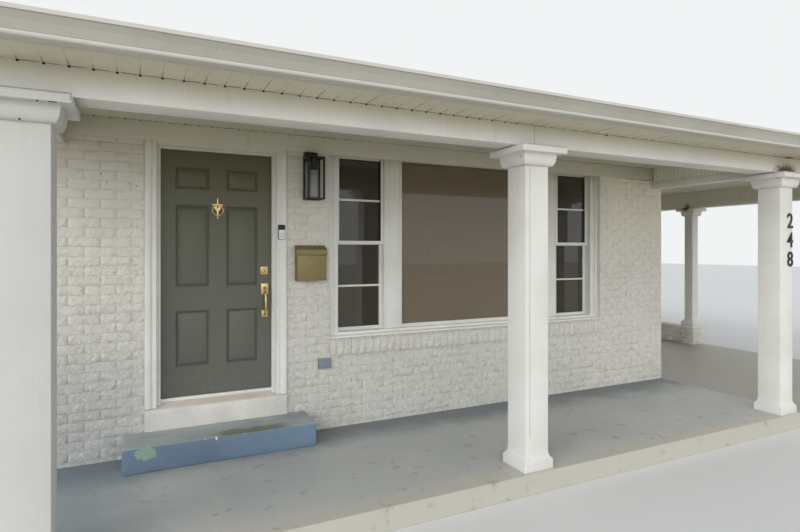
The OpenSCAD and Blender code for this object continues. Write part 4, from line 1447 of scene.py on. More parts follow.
@dataclass
class Trim:
    """Softened copies of the wooden and masonry parts, with the small mouldings of the real ones."""

    frame_face: float = 0.050
    frame_foot: float = 0.975
    mullion_face: float = 0.092
    mullion_out: float = 1.082
    mullion_in: float = 0.896
    post_block: float = 0.1155
    jamb_out: float = 1.645
    jamb_bead: float = 44 * MM
    head_gap: float = 6 * MM
    casing: Outline = ((0.0, -1 * MM), (0.0, 7 * MM), (3 * MM, 10 * MM), (22 * MM, 10 * MM),
                       (25 * MM, 6 * MM), (34 * MM, 6 * MM), (38 * MM, 12 * MM), (46 * MM, 17 * MM),
                       (56 * MM, 19 * MM), (80 * MM, 19 * MM), (84 * MM, 16 * MM), (84 * MM, -1 * MM))
    casing_in: float = 0.088
    casing_down: float = 0.016
    casing_foot: float = 0.032
    stop: Outline = ((0.0, -1 * MM), (0.0, 5 * MM), (2 * MM, 7 * MM), (10 * MM, 7 * MM), (13 * MM, 4 * MM),
                     (13 * MM, -1 * MM))
    stop_in: float = 0.117
    stop_down: float = 0.045
    stop_y: float = 0.030
    board_pitch: float = 0.106
    board_shift: float = 0.025
    screw_holes: tuple[Point, ...] = (
        (-2.897, 2.344, 5), (-2.857, 2.284, 3.5), (-2.652, 2.264, 4), (-2.589, 2.070, 4),
        (-2.589, 1.920, 3.5), (-2.589, 1.410, 3.5), (-2.589, 1.140, 4), (-2.589, 0.900, 4),
        (-2.589, 0.850, 3))

    def build(self) -> None:
        """Soften the parts and add their mouldings."""
        for node, finish, width in (
            ("porch_beam", Finish.TRIM_X, 3 * MM),
            ("porch_headers", Finish.TRIM_Y, 3 * MM),
            ("porch_columns", Finish.TRIM_Z, 3 * MM),
            ("carport_columns", Finish.TRIM_Z, 3 * MM),
            ("frieze_board", Finish.TRIM_X, 2 * MM),
            ("front_window_frame", Finish.TRIM_Z, 2 * MM),
            ("front_window_sashes", Finish.TRIM_Z, 2 * MM),
            ("side_window_frames", Finish.TRIM_Z, 2 * MM),
            ("door_frame", Finish.TRIM_Z, 1.5 * MM),
        ):
            soften(node, finish, width)
        soften("carport_low_wall", Finish.MORTAR, 4 * MM)
        for node, finish in (
            ("fascia", Finish.GUTTER), ("gutter", Finish.GUTTER), ("downspouts", Finish.GUTTER),
            ("front_window_glass", Finish.GLASS), ("side_window_glass", Finish.SIDE_GLASS),
            ("house_floor", Finish.OAK), ("house_ceiling", Finish.PLASTER),
        ):
            dress(node, finish)
        self.window_casings()
        self.door_casing()
        self.shadow_lines()

    def window_casings(self) -> None:
        """Cover the mullions and jambs of the front windows with moulded boards."""
        low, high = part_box("front_window_frame")
        middle = (low.x + high.x) / 2
        foot, head = self.frame_foot + 0.030, high.z - self.head_gap
        shape = Shape("window_casings", [Finish.TRIM_Z, Finish.TRIM_X])

        for side in (-1, 1):
            jamb = middle + side * self.jamb_out
            for centre, half, depth, face, bevel in (
                (middle + side * (self.mullion_out - 0.012), 8 * MM, 5 * MM, self.mullion_face, 2.5 * MM),
                (middle + side * (self.mullion_in + 0.010), 8 * MM, 5 * MM, self.mullion_face, 2.5 * MM),
                (jamb, 18 * MM, 14 * MM, self.frame_face, 3 * MM),
                (jamb - side * self.jamb_bead, 6 * MM, 6 * MM, self.frame_face, 2.5 * MM),
            ):
                shape.box((centre - half, face - depth, foot), (centre + half, face + 1 * MM, head), bevel)
        shape.settle(HOUSE, smooth=40)

    def door_casing(self) -> None:
        """Run a stepped moulding and a stop round the door, on the face of its frame."""
        low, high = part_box("door_frame")
        middle, half = (low.x + high.x) / 2, (high.x - low.x) / 2
        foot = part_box("front_wall_under_door")[1].z - self.casing_foot
        shape = Shape("door_casing_moulding", [Finish.TRIM_Z])
        for reach, y, z0, z1, profile in (
            (half - self.casing_in, 0, foot, high.z - self.casing_down, self.casing),
            (half - self.stop_in, self.stop_y, foot + 0.016, high.z - self.stop_down, self.stop),
        ):
            right, left = middle + reach, middle - reach
            shape.sweep([(right, y, z0), (right, y, z1), (left, y, z1), (left, y, z0)], profile, OUT)
        shape.settle(HOUSE, smooth=35)

    def shadow_lines(self) -> None:
        """Leave the open joints of the beam, the frieze and the boards as thin dark lines of painted shadow.
        """
        beam_low, beam_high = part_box("porch_beam")
        beam = beam_low.y
        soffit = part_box("eave_soffit")[0].z
        frieze_low, frieze_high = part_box("frieze_board")
        frieze = frieze_low.y
        shape = Shape("open_joints", [Finish.PAINTED_SHADE])
        rng = random.Random(SEED)
        # Painted shade where each board groove meets the beam and the frieze, with a short dark streak beside
        # it
        for face, top, x0, x1, size, open_to in (
            (beam, soffit - 1 * MM, beam_low.x, beam_high.x, 6.5 * MM, -0.1),
            (frieze, frieze_high.z, frieze_low.x, frieze_high.x, 5.5 * MM, -0.9),
        ):
            first, last = ((x - self.board_shift) / self.board_pitch for x in (x0, x1))
            for k in range(math.ceil(first), int(last) + 1):
                x = k * self.board_pitch + self.board_shift
                dot = size * (1.0 if x < open_to else 0.45)
                shape.box((x - dot, face - 3 * MM, top - 1.3 * dot), (x + dot, face + 1 * MM, top))
                start = x + dot + rng.uniform(0.0, 0.02)
                shape.box((start, face - 1.5 * MM, top - rng.uniform(1.2, 2.2) * MM),
                          (min(x + 0.1, start + rng.uniform(0.05, 0.085)), face + 1 * MM, top))
                if face == beam:
                    wide = k % 3 == 2
                    thin = (0.8 if wide else 0.4) * MM
                    long = rng.uniform(0.10, 0.20) if wide else rng.uniform(0.05, 0.12)
                    shape.box((x - thin, face - long, top - 0.5 * MM), (x + thin, face, top + 1 * MM))
        sill_low, sill_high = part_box("window_sill_bricks")
        for low, high in (
            # Painted shadow in the butt joints of the beam and the frieze, and in small gaps in the mouldings
            # of the left column
            ((-0.0228, beam - 0.6 * MM, beam_low.z + 1 * MM), (-0.0212, beam + 1 * MM, soffit - 4 * MM)),
            ((-1.8068, frieze - 0.6 * MM, frieze_low.z), (-1.8052, frieze + 1 * MM, frieze_high.z)),
            ((-3.066, -1.6480, 2.4670), (-3.058, -1.6400, 2.4712)),
            ((-3.018, -1.6470, 2.4690), (-2.984, -1.6400, 2.4712)),
            ((-3.140, -1.6210, 2.3790), (-3.134, -1.6000, 2.3845)),
            ((-2.922, -1.6960, 2.4740), (-2.920, -1.6900, 2.5120)),
            # Painted shadow in an upright joint and a gap of the middle column, and in a hole at the top of
            # the beam
            ((-0.1042, -1.6006, 0.42), (-0.1030, -1.5990, 2.37)),
            ((-0.1515, -1.5610, 2.4380), (-0.1450, -1.5540, 2.4450)),
            ((0.688, beam - 3 * MM, soffit - 13 * MM), (0.704, beam + 1 * MM, soffit - 1 * MM)),
            # Painted shadow in the gap under the right end of the frieze, and a painted dark blot where it
            # meets the side header
            ((2.66, frieze + 2 * MM, frieze_low.z - 2.5 * MM), (3.124, 0.0, frieze_low.z)),
            ((3.117, frieze - 0.8 * MM, 2.640), (3.126, frieze + 1 * MM, 2.672)),
            # Painted shadow in the gaps over and under the sill bricks, and between the upper sashes and
            # their right jambs
            ((sill_low.x, 0.0115, 0.9500), (sill_high.x, 0.0150, 0.9550)),
            ((sill_low.x + 5 * MM, -0.0070, 0.8030), (sill_high.x - 5 * MM, 0.0, 0.8110)),
            ((-0.5370, 0.098, 1.855), (-0.5280, 0.104, 2.640)),
            ((2.0940, 0.098, 1.855), (2.1030, 0.104, 2.640)),
        ):
            shape.box(low, high)
        # Painted shadow lines at the joints round the foot blocks of the carport posts
        walls = Brickwork()
        x, half = walls.post_x, self.post_block
        for y in walls.post_ys:
            for z, high in ((0.3795, 0.3835), (0.4390, 0.4412)):
                shape.box((x - half, y - half, z), (x + half, y + half, high))
        # Painted shade in screw holes in the bricks and in the open ends of bed joints beside the door casing
        for x, z, size in self.screw_holes:
            half = size * MM
            shape.box((x - half, -0.0085, z - half * 0.8), (x + half, 0.0, z + half * 0.8))
        shape.settle(HOUSE)


def dress(node: str, finish: Finish) -> None:
    """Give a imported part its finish."""
    data = FRAME["nodes"][node].data
    data.materials.clear()
    data.materials.append(finish.material)


def soften(node: str, finish: Finish, width: float) -> None:
    """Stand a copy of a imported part, with its sharp edges rounded, in its place.

    Args:
        node: Name of the part.
        finish: Its finish.
        width: Width of the rounding.
    """
    shape = Shape(f"{node}_softened", [finish])
    mesh = shape.mesh
    mesh.from_mesh(FRAME["nodes"][node].data)
    bmesh.ops.remove_doubles(mesh, verts=mesh.verts, dist=0.02 * MM)
    bmesh.ops.dissolve_limit(mesh, angle_limit=math.radians(0.5), verts=mesh.verts, edges=mesh.edges)
    sharp = [e for e in mesh.edges if len(e.link_faces) == 2 and e.calc_face_angle(0) > math.radians(50)]
    bmesh.ops.bevel(mesh, geom=sharp, offset=width, segments=2, profile=0.6, affect="EDGES",
                    clamp_overlap=True)
    for face in mesh.faces:
        face.material_index = 0
    shape.settle(HOUSE, [node], smooth=32)


@dataclass
class Slabs:
    """Porch floor, carport floor, the entry step and the sill under the door."""

    nose: float = 0.5
    lead_y: float = 0.075
    sill_back: float = 0.056
    def build(self) -> None:
        """Build the step and the sill, and dress the floors."""
        dress("porch_slab", Finish.PORCH)
        dress("carport_slab", Finish.CARPORT)
        self.step()
        self.door_sill()

    def step(self) -> None:
        """Model the step with its broken, rounded edges."""
        low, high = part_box("entry_step")
        shape = Shape("painted_step", [Finish.STEP])
        shape.box(tuple(low), tuple(high))
        edges = [e for e in shape.mesh.edges if max(v.co.y for v in e.verts) < high.y - 0.01
                 or e.verts[0].co.z > high.z - 0.01 and e.verts[1].co.z > high.z - 0.01]
        bmesh.ops.bevel(shape.mesh, geom=edges, offset=9 * MM, segments=3, profile=0.5, affect="EDGES")
        for _ in range(3):
            long = [e for e in shape.mesh.edges if e.calc_length() > 0.09]
            bmesh.ops.subdivide_edges(shape.mesh, edges=long, cuts=2, use_grid_fill=True)
        bmesh.ops.triangulate(shape.mesh, faces=[f for f in shape.mesh.faces if len(f.verts) > 4])
        centre = (low + high) / 2
        for vert in shape.mesh.verts:
            if vert.co.y > high.y - 1 * MM or vert.co.z < low.z + 1 * MM:
                continue
            wear = noise.noise(vert.co / 0.045) * 2.5 * MM + noise.noise(vert.co / 0.16) * 3 * MM
            away = (vert.co - centre).normalized()
            edge = vert.co.z > high.z - 0.012 and vert.co.y < low.y + 0.012
            vert.co -= away * (abs(wear) * (2.0 if edge else 0.5))
        shape.settle(HOUSE, ["entry_step"], smooth=50)

    def door_sill(self) -> None:
        """Cover the masonry under the door with its painted sill and a metal threshold."""
        low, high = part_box("front_wall_under_door")
        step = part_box("entry_step")[1].z
        nose, back = self.nose, self.sill_back
        shape = Shape("door_sill", [Finish.SILL, Finish.RENDER, Finish.TRIM_X])
        slope = (high.z - nose) / (self.lead_y - low.y)
        outline = [(low.y - 5 * MM, step - 2 * MM), (low.y - 5 * MM, nose - 10 * MM), (low.y, nose + 3 * MM),
                   (back, nose + slope * (back - low.y) + 3 * MM), (back, step)]
        shape.prism(outline, low.x + 2 * MM, high.x - 2 * MM)
        sharp = [e for e in shape.mesh.edges if e.calc_face_angle(0) > 0.5]
        bmesh.ops.bevel(shape.mesh, geom=sharp, offset=3 * MM, segments=2, affect="EDGES")
        for _ in range(4):
            long = [e for e in shape.mesh.edges if e.calc_length() > 0.06]
            bmesh.ops.subdivide_edges(shape.mesh, edges=long, cuts=1, use_grid_fill=True)
        for face in shape.mesh.faces:
            face.material_index = 0 if face.normal.z > 0.5 else 1
        for vert in shape.mesh.verts:
            if vert.co.y < 0.0:
                vert.co.y += noise.noise(vert.co / 0.05) * 1.5 * MM
        door_low, door_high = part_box("front_door")
        shape.box((door_low.x + 8 * MM, 0.058, high.z - 9 * MM),
                  (door_high.x - 8 * MM, 0.079, door_low.z - 1.5 * MM), 2.5 * MM, 2)
        shape.settle(HOUSE, smooth=40)


@dataclass
class FrontDoor:
    """Six-panel leaf with its handle, deadbolt and hinges."""

    panel_half: float = 0.135
    panel_from_middle: float = 0.2
    rows: tuple[tuple[float, float], ...] = ((0.800, 1.266), (1.458, 2.140), (2.268, 2.455))
    moulding: tuple[tuple[float, float], ...] = (
        (0.0, 0.0), (0.0015, 0.0028), (0.006, 0.0038), (0.0100, 0.0085), (0.013, 0.0125), (0.021, 0.0125),
        (0.023, 0.0105), (0.046, 0.0030), (0.048, 0.0024))

    def build(self) -> None:
        """Build the leaf and its fittings."""
        self.leaf()
        self.handle()
        self.deadbolt()
        dress("door_hinges", Finish.POLISHED)

    def leaf(self) -> None:
        """Model both moulded faces of the leaf and its edges."""
        low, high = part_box("front_door")
        middle = (low.x + high.x) / 2
        xs = sorted([low.x, high.x] + [middle + s * self.panel_from_middle + t * self.panel_half
                                       for s in (-1, 1) for t in (-1, 1)])
        zs = sorted([low.z, high.z] + [z for row in self.rows for z in row])
        shape = Shape("door_leaf", [Finish.DOOR])
        for y, inwards in ((low.y, 1), (high.y, -1)):
            for i, (x0, x1) in enumerate(zip(xs, xs[1:])):
                for j, (z0, z1) in enumerate(zip(zs, zs[1:])):
                    if i in (1, 3) and j in (1, 3, 5):
                        self.panel(shape, (x0, x1, z0, z1), y, inwards)
                    else:
                        shape.face((x, y, z) for x, z in ((x0, z0), (x1, z0), (x1, z1), (x0, z1)))
        for z in (low.z, high.z):
            for x0, x1 in zip(xs, xs[1:]):
                shape.face(((x0, low.y, z), (x1, low.y, z), (x1, high.y, z), (x0, high.y, z)))
        for x in (low.x, high.x):
            for z0, z1 in zip(zs, zs[1:]):
                shape.face(((x, low.y, z0), (x, low.y, z1), (x, high.y, z1), (x, high.y, z0)))
        bmesh.ops.remove_doubles(shape.mesh, verts=shape.mesh.verts, dist=0.05 * MM)
        shape.settle(LEAF, ["front_door"], smooth=25)

    def panel(self, shape: Shape, rect: tuple, y: float, inwards: int) -> None:
        """Sink one moulded panel into a face of the leaf."""
        x0, x1, z0, z1 = rect
        rings = shape.skin([[(x, y + inwards * depth, z) for x, z in
                             ((x0 + inset, z0 + inset), (x1 - inset, z0 + inset),
                              (x1 - inset, z1 - inset), (x0 + inset, z1 - inset))]
                            for inset, depth in self.moulding], ends=False)
        shape.mesh.faces.new(rings[-1])

    def handle(self) -> None:
        """Model the grip outside and the knob inside."""
        low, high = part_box("door_handle")
        leaf_low, leaf_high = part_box("front_door")
        x, face, back = (low.x + high.x) / 2, leaf_low.y, leaf_high.y
        shape = Shape("grip_handle", [Finish.POLISHED, Finish.PAINTED_SHADE])
        for half, out, under, z0, z1, bevel in ((0.032, 9, 0, high.z - 0.096, high.z, 4),
                                                (0.026, 12, 8, high.z - 0.090, high.z - 0.006, 2),
                                                (0.026, 7, 0, low.z, low.z + 0.058, 3)):
            shape.box((x - half, face - out * MM, z0), (x + half, face - under * MM, z1), bevel * MM)
        reach, top, foot, steps = 0.058, high.z - 0.070, low.z + 0.024, 22
        path, radii = [], []
        for k in range(steps + 1):
            t = k / steps
            z = top + (foot - top) * t
            bow = math.sin(math.pi * min(1.0, max(0.0, t * 1.02))) ** 0.22
            path.append((x, face - 0.008 - (reach - 0.008) * bow, z - 0.006 * math.sin(2 * math.pi * t)))
            radii.append(0.0075 + 0.0032 * math.sin(math.pi * t) ** 2 + (0.004 if k in (0, steps) else 0))
        shape.tube(path, radii)
        thumb = [(x, face - out, high.z - down)
                 for out, down in ((0.010, 0.040), (0.030, 0.037), (0.048, 0.044))]
        shape.tube(thumb, (0.006, 0.008, 0.011), 10)
        # Dark disc at the thumb piece: painted shadow
        shape.lathe(OUT, (x, face - 0.0118, high.z - 0.040),
                    ((0, 0.001), (0.0125, 0.001), (0.0125, 0)), 20, 1)
        shape.lathe(IN, (x, back, high.z - 0.048),
                    ((0.033, 0), (0.033, 0.006), (0.028, 0.010), (0.012, 0.012), (0.011, 0.026),
                     (0.019, 0.032), (0.0255, 0.043), (0.0260, 0.052), (0.022, 0.062), (0.012, 0.069),
                     (0, 0.071)), 28)
        shape.settle(LEAF, ["door_handle"], smooth=35)

    def deadbolt(self) -> None:
        """Model the square plate, the key cylinder and the thumb turn."""
        low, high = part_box("deadbolt")
        leaf_low, leaf_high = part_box("front_door")
        x, z, face, back = (low.x + high.x) / 2, (low.z + high.z) / 2, leaf_low.y, leaf_high.y
        shape = Shape("deadbolt_lock", [Finish.POLISHED, Finish.PAINTED_SHADE])
        shape.box((x - 0.032, face - 8 * MM, z - 0.034), (x + 0.032, face, z + 0.034), 4 * MM)
        shape.lathe(OUT, (x, face - 7 * MM, z), ((0.024, 0), (0.023, 0.006), (0.019, 0.012), (0, 0.013)), 28)
        # Dark key slot: painted shade of the keyhole
        shape.box((x - 4 * MM, face - 20.6 * MM, z - 0.009), (x + 4 * MM, face - 19.5 * MM, z + 0.007),
                  1 * MM, 1)
        shape.lathe(IN, (x, back, z), ((0.030, 0), (0.029, 0.008), (0.024, 0.012), (0, 0.012)), 28)
        shape.box((x - 0.005, back + 0.010, z - 0.018), (x + 0.005, back + 0.034, z + 0.018), 2.5 * MM)
        shape.settle(LEAF, ["deadbolt"], smooth=35)


@dataclass
class Knocker:
    """Ring knocker on a pointed plate."""

    ring_radius: float = 0.044
    wire: float = 0.0042
    drop: float = 0.042
    ear: float = 0.037
    pin_up: float = 0.113
    outline: Outline = ((0.0018, 0.062), (0.0048, 0.034), (0.0038, 0.014), (0.026, 0.012), (0.042, 0.013),
                        (0.044, 0.006), (0.034, -0.010), (0.018, -0.034), (0.0075, -0.050), (0.0045, -0.062),
                        (0.0070, -0.078), (0.0020, -0.112))

    def build(self) -> None:
        """Build the plate on the leaf and the ring that hangs from it."""
        plate_low, plate_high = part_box("knocker_plate")
        ring_low, ring_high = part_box("knocker_ring")
        x, face = (plate_low.x + plate_high.x) / 2, plate_high.y
        pin = Vector((x, (ring_low.y + ring_high.y) / 2, plate_low.z + self.pin_up))
        self.plate(x, face, pin)
        self.ring(pin)

    def plate(self, x: float, face: float, pin: Vector) -> None:
        """Cut the pointed plate, bevel it and stand the ears on it."""
        shape = Shape("knocker_back_plate", [Finish.POLISHED, Finish.PAINTED_SHADE])
        z = pin.z - 1 * MM
        outline = [*self.outline, *((-u, v) for u, v in reversed(self.outline))]
        shape.face((x + u, face - 5 * MM, z + v) for u, v in outline)
        wall = bmesh.ops.extrude_face_region(shape.mesh, geom=list(shape.mesh.faces))
        for vert in (v for v in wall["geom"] if isinstance(v, bmesh.types.BMVert)):
            vert.co.y = face
        rim = [e for e in shape.mesh.edges if all(abs(v.co.y - face + 5 * MM) < 1e-6 for v in e.verts)]
        bmesh.ops.bevel(shape.mesh, geom=rim, offset=1.2 * MM, segments=2, affect="EDGES")
        boss = (x, face - 4.5 * MM, z - 0.014)
        shape.lathe(OUT, boss, ((0.0085, 0), (0.0080, 0.0035), (0.0060, 0.0045)), 20)
        # Dark middle of the boss: painted shade of its hole
        shape.lathe(OUT, boss, ((0.0060, 0.0045), (0, 0.0042)), 20, 1)
        for side in (-1, 1):
            cx = x + side * self.ear
            shape.tube([(cx, face - out, pin.z) for out in (0, 0.012, 0.0195)], (0.0055, 0.0045, 0.0055))
            shape.lathe((side, 0, 0), (cx - side * 0.004, pin.y, pin.z),
                        ((0, 0), (0.0058, 0), (0.0058, 0.008), (0, 0.0085)), 16)
        shape.settle(LEAF, ["knocker_plate"], smooth=35)

    def ring(self, pin: Vector) -> None:
        """Bend the open ring, with its ends turned in to the pin."""
        shape = Shape("knocker_swing_ring", [Finish.POLISHED])
        centre = pin - Vector((0, 0, self.drop))
        end = math.asin(31 / 44)
        inner = self.ear - 0.010
        path = [pin + Vector((inner, 0, 0)), pin + Vector((inner + 0.001, 0, -0.006))]
        radii = [0.0034, 0.0036]
        steps = 36
        for k in range(steps + 1):
            angle = end - (math.pi + 2 * end) * k / steps
            path.append(centre + Vector((math.cos(angle), 0, math.sin(angle))) * self.ring_radius)
            radii.append(self.wire + 0.0016 * math.cos(angle + math.pi / 2) ** 4)
        path += [pin + Vector((-inner - 0.001, 0, -0.006)), pin + Vector((-inner, 0, 0))]
        radii += [0.0036, 0.0034]
        shape.tube(path, radii)
        half = self.ear - 0.004
        shape.tube([(pin.x - half, pin.y, pin.z), (pin.x + half, pin.y, pin.z)], 0.0028)
        shape.settle("knocker_ring", ["knocker_ring"], smooth=40)


@dataclass
class Fittings:
    """Lantern, letter box, doorbell, socket cover and house numbers."""

    bar: float = 0.016
    rail: float = 0.012
    cage_half_w: float = 0.077
    cage_half_d: float = 0.078
    cage_top: float = 2.578
    lamp_top: float = 2.470
    sheet: float = 1.5 * MM
    lid_fall: float = 0.034
    hinge_y: float = -0.014
    hinge_z: float = 1.802
    knuckles: int = 5
    digits: str = "248"
    digit_height: float = 0.144
    digit_pitch: float = 0.19
    digit_top: float = 2.13
    digit_x: float = 3.186
    digit_in: float = 0.308

    def build(self) -> None:
        """Build every fitting."""
        self.lantern()
        self.letter_box()
        self.doorbell()
        self.socket_cover()
        self.numbers()

    def lantern(self) -> None:
        """Model the cage, the wall box, the lamp holder and the lamp."""
        low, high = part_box("wall_lantern")
        x, y = (low.x + high.x) / 2, low.y + self.cage_half_d
        half_w, half_d = self.cage_half_w, self.cage_half_d
        base, top, bar = low.z, self.cage_top, self.bar
        shape = Shape("lantern_cage", [Finish.IRON])
        for sx in (-1, 1):
            for sy in (-1, 1):
                cx, cy = x + sx * (half_w - bar / 2), y + sy * (half_d - bar / 2)
                shape.box((cx - bar / 2, cy - bar / 2, base), (cx + bar / 2, cy + bar / 2, top), 1.2 * MM)
        for z in (base, top - self.rail):
            over = z + self.rail
            shape.box((x - half_w, y - half_d, z), (x + half_w, y - half_d + bar, over), 1.2 * MM)
            shape.box((x - half_w, y + half_d - bar, z), (x + half_w, y + half_d, over), 1.2 * MM)
            for side in (-1, 1):
                cx = x + side * (half_w - bar / 2)
                shape.box((cx - bar / 2, y - half_d, z), (cx + bar / 2, y + half_d, over), 1.2 * MM)
        shape.box((x - half_w + 4 * MM, y - half_d + 4 * MM, top - 6 * MM),
                  (x + half_w - 4 * MM, y + half_d - 4 * MM, top - 1 * MM))
        shape.box((x - 0.068, low.y + 0.116, 2.548), (x + 0.044, 0.0, 2.628), 3 * MM)
        shape.lathe(DOWN, (x, y, top - 4 * MM),
                    ((0.034, 0), (0.034, 0.006), (0.0330, 0.010), (0.0330, 0.098), (0.0305, 0.104),
                     (0, 0.104)))
        shape.settle(HOUSE, ["wall_lantern"], smooth=35)
        dress("lantern_glass", Finish.LANTERN_GLASS)
        lamp = Shape("lantern_lamp", [Finish.LAMP])
        lamp.lathe(DOWN, (x, y, self.lamp_top),
                   ((0.015, -0.004), (0.017, 0.002), (0.017, 0.038), (0.024, 0.046), (0.031, 0.056),
                    (0.034, 0.072), (0.034, 0.205), (0.030, 0.226), (0.018, 0.236), (0, 0.238)), 28)
        lamp.settle(HOUSE, smooth=60)

    def letter_box(self) -> None:
        """Model the box with rolled edges and its sloping lid."""
        low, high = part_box("mailbox")
        wall = self.sheet
        front_top = high.z - self.lid_fall
        shape = Shape("letter_box_body", [Finish.AGED])
        shape.box((low.x, low.y, low.z), (high.x, high.y, low.z + 2 * MM), 0.8 * MM)
        shape.box((low.x, low.y, low.z), (high.x, low.y + wall, front_top), 0.6 * MM)
        shape.box((low.x, high.y - wall, low.z), (high.x, high.y, high.z), 0.6 * MM)
        for x0 in (low.x, high.x - wall):
            shape.prism([(high.y, low.z), (high.y, high.z), (low.y, front_top), (low.y, low.z)],
                        x0, x0 + wall)
        shape.tube([(x, low.y + 1 * MM, front_top) for x in (low.x, high.x)], 2.6 * MM, 10)
        shape.tube([(x, low.y, low.z + 2 * MM) for x in (low.x + 2 * MM, high.x - 2 * MM)], 2.2 * MM, 10)
        shape.settle(HOUSE, ["mailbox"], smooth=35)
        self.letter_lid(low, high)

    def letter_lid(self, low: Vector, high: Vector) -> None:
        """Fold the lid of the letter box and roll its hinge.

        Args:
            low: Lowest corner of the box.
            high: Highest corner of the box.
        """
        lid_low, lid_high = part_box("mailbox_lid")
        lid = Shape("letter_box_lid", [Finish.AGED])
        y0, y1 = self.hinge_y, low.y - 0.009
        drop = self.lid_fall * (high.y - low.y + 0.009 + y0) / (high.y - low.y)
        z = self.hinge_z - 0.005
        outline = [(y0, z + 1 * MM), (y0, z + 4 * MM), (y0 - 0.004, z + 4 * MM),
                   (y1 + 6 * MM, z + 5 * MM - drop), (y1 + 1 * MM, z + 2.5 * MM - drop),
                   (y1 - 0.5 * MM, z - 4 * MM - drop), (y1, z - drop - 0.040),
                   (y1 - 2 * MM, z - drop - 0.044), (y1 + 1.5 * MM, z - drop - 0.045),
                   (y1 + 2 * MM, z - drop - 0.040), (y1 + 2 * MM, z - drop - 2 * MM)]
        lid.prism(outline, lid_low.x + 0.5 * MM, lid_high.x - 0.5 * MM)
        for x in (lid_low.x + 0.5 * MM, lid_high.x - 1.7 * MM):
            lid.prism([(y0, z), (y0, z + 3 * MM), (y1 + 2 * MM, z + 1 * MM - drop),
                       (y1 + 2 * MM, z - drop - 0.030)], x, x + 1.2 * MM)
        width = lid_high.x - lid_low.x
        for k in range(self.knuckles):
            x0 = lid_low.x + width * k / self.knuckles + 1 * MM
            x1 = x0 + width / self.knuckles - 2 * MM
            lid.tube([(x, y0, self.hinge_z) for x in (x0, x1)], 5.6 * MM, 14)
        lid.settle("mailbox_lid", ["mailbox_lid"], smooth=35)

    def doorbell(self) -> None:
        """Model the black back, the white lower half and the round button."""
        low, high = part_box("doorbell")
        x = (low.x + high.x) / 2
        shape = Shape("doorbell_case", [Finish.BELL_BLACK, Finish.BELL_WHITE])
        face = low.y + 4 * MM
        button = (x, face - 2 * MM, low.z + 0.038)
        shape.box((low.x, face, low.z), (high.x, high.y, high.z), 6 * MM)
        shape.box((low.x + 5 * MM, face - 2 * MM, low.z + 4 * MM),
                  (high.x - 5 * MM, face + 1 * MM, low.z + 0.086), 3 * MM, 1)
        shape.lathe(OUT, button, ((0.0165, 0), (0.0160, 0.0006), (0.0145, 0.0006), (0.0145, 0.0002)), 32)
        shape.lathe(OUT, button, ((0.0145, 0.0001), (0.0140, 0.0012), (0.0, 0.0016)), 32, 1)
        shape.lathe(OUT, (x, face + 0.5 * MM, high.z - 0.022), ((0.012, 0), (0.0115, 0.0008), (0, 0.0012)))
        shape.settle(HOUSE, ["doorbell"], smooth=35)

    def socket_cover(self) -> None:
        """Model the cast cover with its hinged flap and screws."""
        low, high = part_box("outlet_cover")
        shape = Shape("socket_cover", [Finish.OUTLET])
        shape.box((low.x, low.y + 14 * MM, low.z), (high.x, high.y, high.z), 4 * MM)
        shape.box((low.x + 7 * MM, low.y, low.z + 6 * MM),
                  (high.x - 7 * MM, low.y + 15 * MM, high.z - 9 * MM), 5 * MM)
        shape.tube([(x, low.y + 9 * MM, high.z - 8 * MM) for x in (low.x + 16 * MM, high.x - 16 * MM)],
                   4 * MM, 10)
        for x in (low.x + 5 * MM, high.x - 5 * MM):
            shape.lathe(OUT, (x, low.y + 14 * MM, (low.z + high.z) / 2),
                        ((0.0032, 0), (0.003, 0.001), (0, 0.0014)), 12)
        shape.settle(HOUSE, ["outlet_cover"], smooth=35)

    def numbers(self) -> None:
        """Stand plain numerals one over another on the right porch column."""
        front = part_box("porch_columns")[1].y - self.digit_in
        shape = Shape("house_numbers", [Finish.IRON])
        for k, digit in enumerate(self.digits):
            curve = bpy.data.curves.new("numeral", "FONT")
            curve.body = digit
            curve.align_x = "CENTER"
            curve.size = self.digit_height / 0.70
            curve.offset = 2.2 * MM
            curve.extrude = 2.5 * MM
            curve.bevel_depth = 0.8 * MM
            curve.bevel_resolution = 1
            holder = bpy.data.objects.new("numeral", curve)
            bpy.context.scene.collection.objects.link(holder)
            depsgraph = bpy.context.evaluated_depsgraph_get()
            mesh = bpy.data.meshes.new_from_object(holder.evaluated_get(depsgraph))
            bpy.data.objects.remove(holder)
            z = self.digit_top - self.digit_height - k * self.digit_pitch
            place = Matrix.Translation((self.digit_x, front - 3 * MM, z))
            shape.take(mesh, place @ Matrix.Rotation(math.pi / 2, 4, "X"), 0)
        bmesh.ops.remove_doubles(shape.mesh, verts=shape.mesh.verts, dist=0.01 * MM)
        shape.settle(HOUSE, smooth=30)


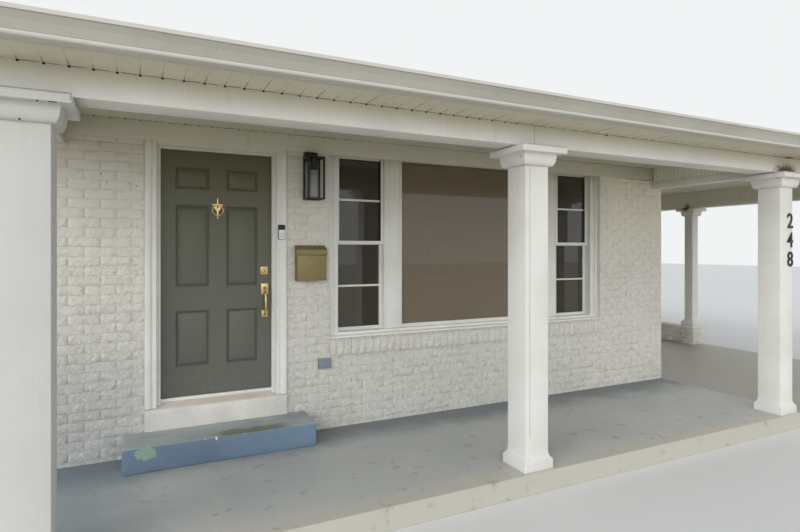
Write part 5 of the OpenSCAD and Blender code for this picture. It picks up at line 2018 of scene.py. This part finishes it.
@dataclass
class Studio:
    """Pale floor, pale surroundings, soft daylight and the camera."""

    camera_at: Point = (-2.622, -4.663, 1.763)
    yaw: float = -25.8
    lens: float = 24.12
    shift_y: float = -0.0196
    floor_half: float = 60.0
    background: str = "#F1F3F4"
    sky: float = 1.35
    zenith: float = 0.62
    sun: float = 1.1

    def build(self) -> None:
        """Set the camera, the floor and the lights."""
        scene = bpy.context.scene
        scene.view_settings.view_transform = "Standard"
        camera = bpy.data.cameras.new("camera")
        camera.sensor_width = 36.0
        camera.lens = self.lens
        camera.shift_y = self.shift_y
        camera.clip_start, camera.clip_end = 0.05, 300.0
        holder = bpy.data.objects.new("camera", camera)
        holder.location = self.camera_at
        holder.rotation_euler = (math.pi / 2, 0, math.radians(self.yaw))
        scene.collection.objects.link(holder)
        scene.camera = holder
        self.floor()
        self.world()
        self.lamp("sun_soft", (66, 0, -60), self.sun, 35)
        self.lamp("front_fill", (76, 0, -15), 0.6, 60)

    def lamp(self, name: str, turn: Point, strength: float, angle: float) -> None:
        """Add one broad sun, turned by Euler angles in degrees."""
        light = bpy.data.lights.new(name, "SUN")
        light.energy = strength
        light.angle = math.radians(angle)
        light.color = (1.0, 0.985, 0.96)
        holder = bpy.data.objects.new(name, light)
        holder.rotation_euler = tuple(math.radians(t) for t in turn)
        bpy.context.scene.collection.objects.link(holder)

    def floor(self) -> None:
        """Lay the pale floor, a little below the slabs."""
        ground = Shape("floor")
        bmesh.ops.create_grid(ground.mesh, x_segments=1, y_segments=1, size=self.floor_half)
        data = ground.close(outwards=False)
        p = Paint("pale_floor")
        seen = p.add("ShaderNodeLightPath", output="Is Camera Ray")
        surface = p.add("ShaderNodeBsdfDiffuse", {"Color": p.mix(seen, "#DAD5C9", "#DFE0DF")})
        add_node(p.tree, "ShaderNodeOutputMaterial", {0: surface})
        data.materials.append(p.material)
        floor = bpy.data.objects.new("floor", data)
        floor.location = (1.2, 2.7, -0.002)
        bpy.context.scene.collection.objects.link(floor)

    def world(self) -> None:
        """Light from all round, while the camera and reflections see the pale background."""
        world = bpy.data.worlds.new("daylight")
        world.use_nodes = True
        g = Graph(world.node_tree)
        way = g.add("ShaderNodeTexCoord", output="Generated")
        height = g.add("ShaderNodeSeparateXYZ", {0: way}, "Z")
        strength = g.add("ShaderNodeMapRange", {"Value": height, "From Min": 0.0, "From Max": 0.8,
                                                "To Min": self.sky, "To Max": self.zenith})
        light = g.add("ShaderNodeBackground", {"Color": srgb("#F3F6FA"), "Strength": strength})
        shown = g.add("ShaderNodeBackground", {"Color": srgb(self.background), "Strength": 1.0})
        camera, glossy, through = (g.add("ShaderNodeLightPath", output=f"Is {ray} Ray")
                                   for ray in ("Camera", "Glossy", "Transmission"))
        seen = camera.math("MAXIMUM", glossy).math("MAXIMUM", through)
        mixed = g.add("ShaderNodeMixShader", {0: seen, 1: light, 2: shown})
        add_node(g.tree, "ShaderNodeOutputWorld", {0: mixed})
        bpy.context.scene.world = world


FRAME: dict = {}


def main() -> None:
    """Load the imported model, dress it and set the scene."""
    logging.basicConfig(level=logging.INFO, format="%(name)s: %(message)s")
    FRAME.update(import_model())
    for kind in (Brickwork, SillBricks, Boarding, Roof, Trim, Slabs, FrontDoor, Knocker, Fittings):
        kind().build()
        LOG.info("built %s", kind.__name__)
    Studio().build()


if __name__ == "__main__":
    main()
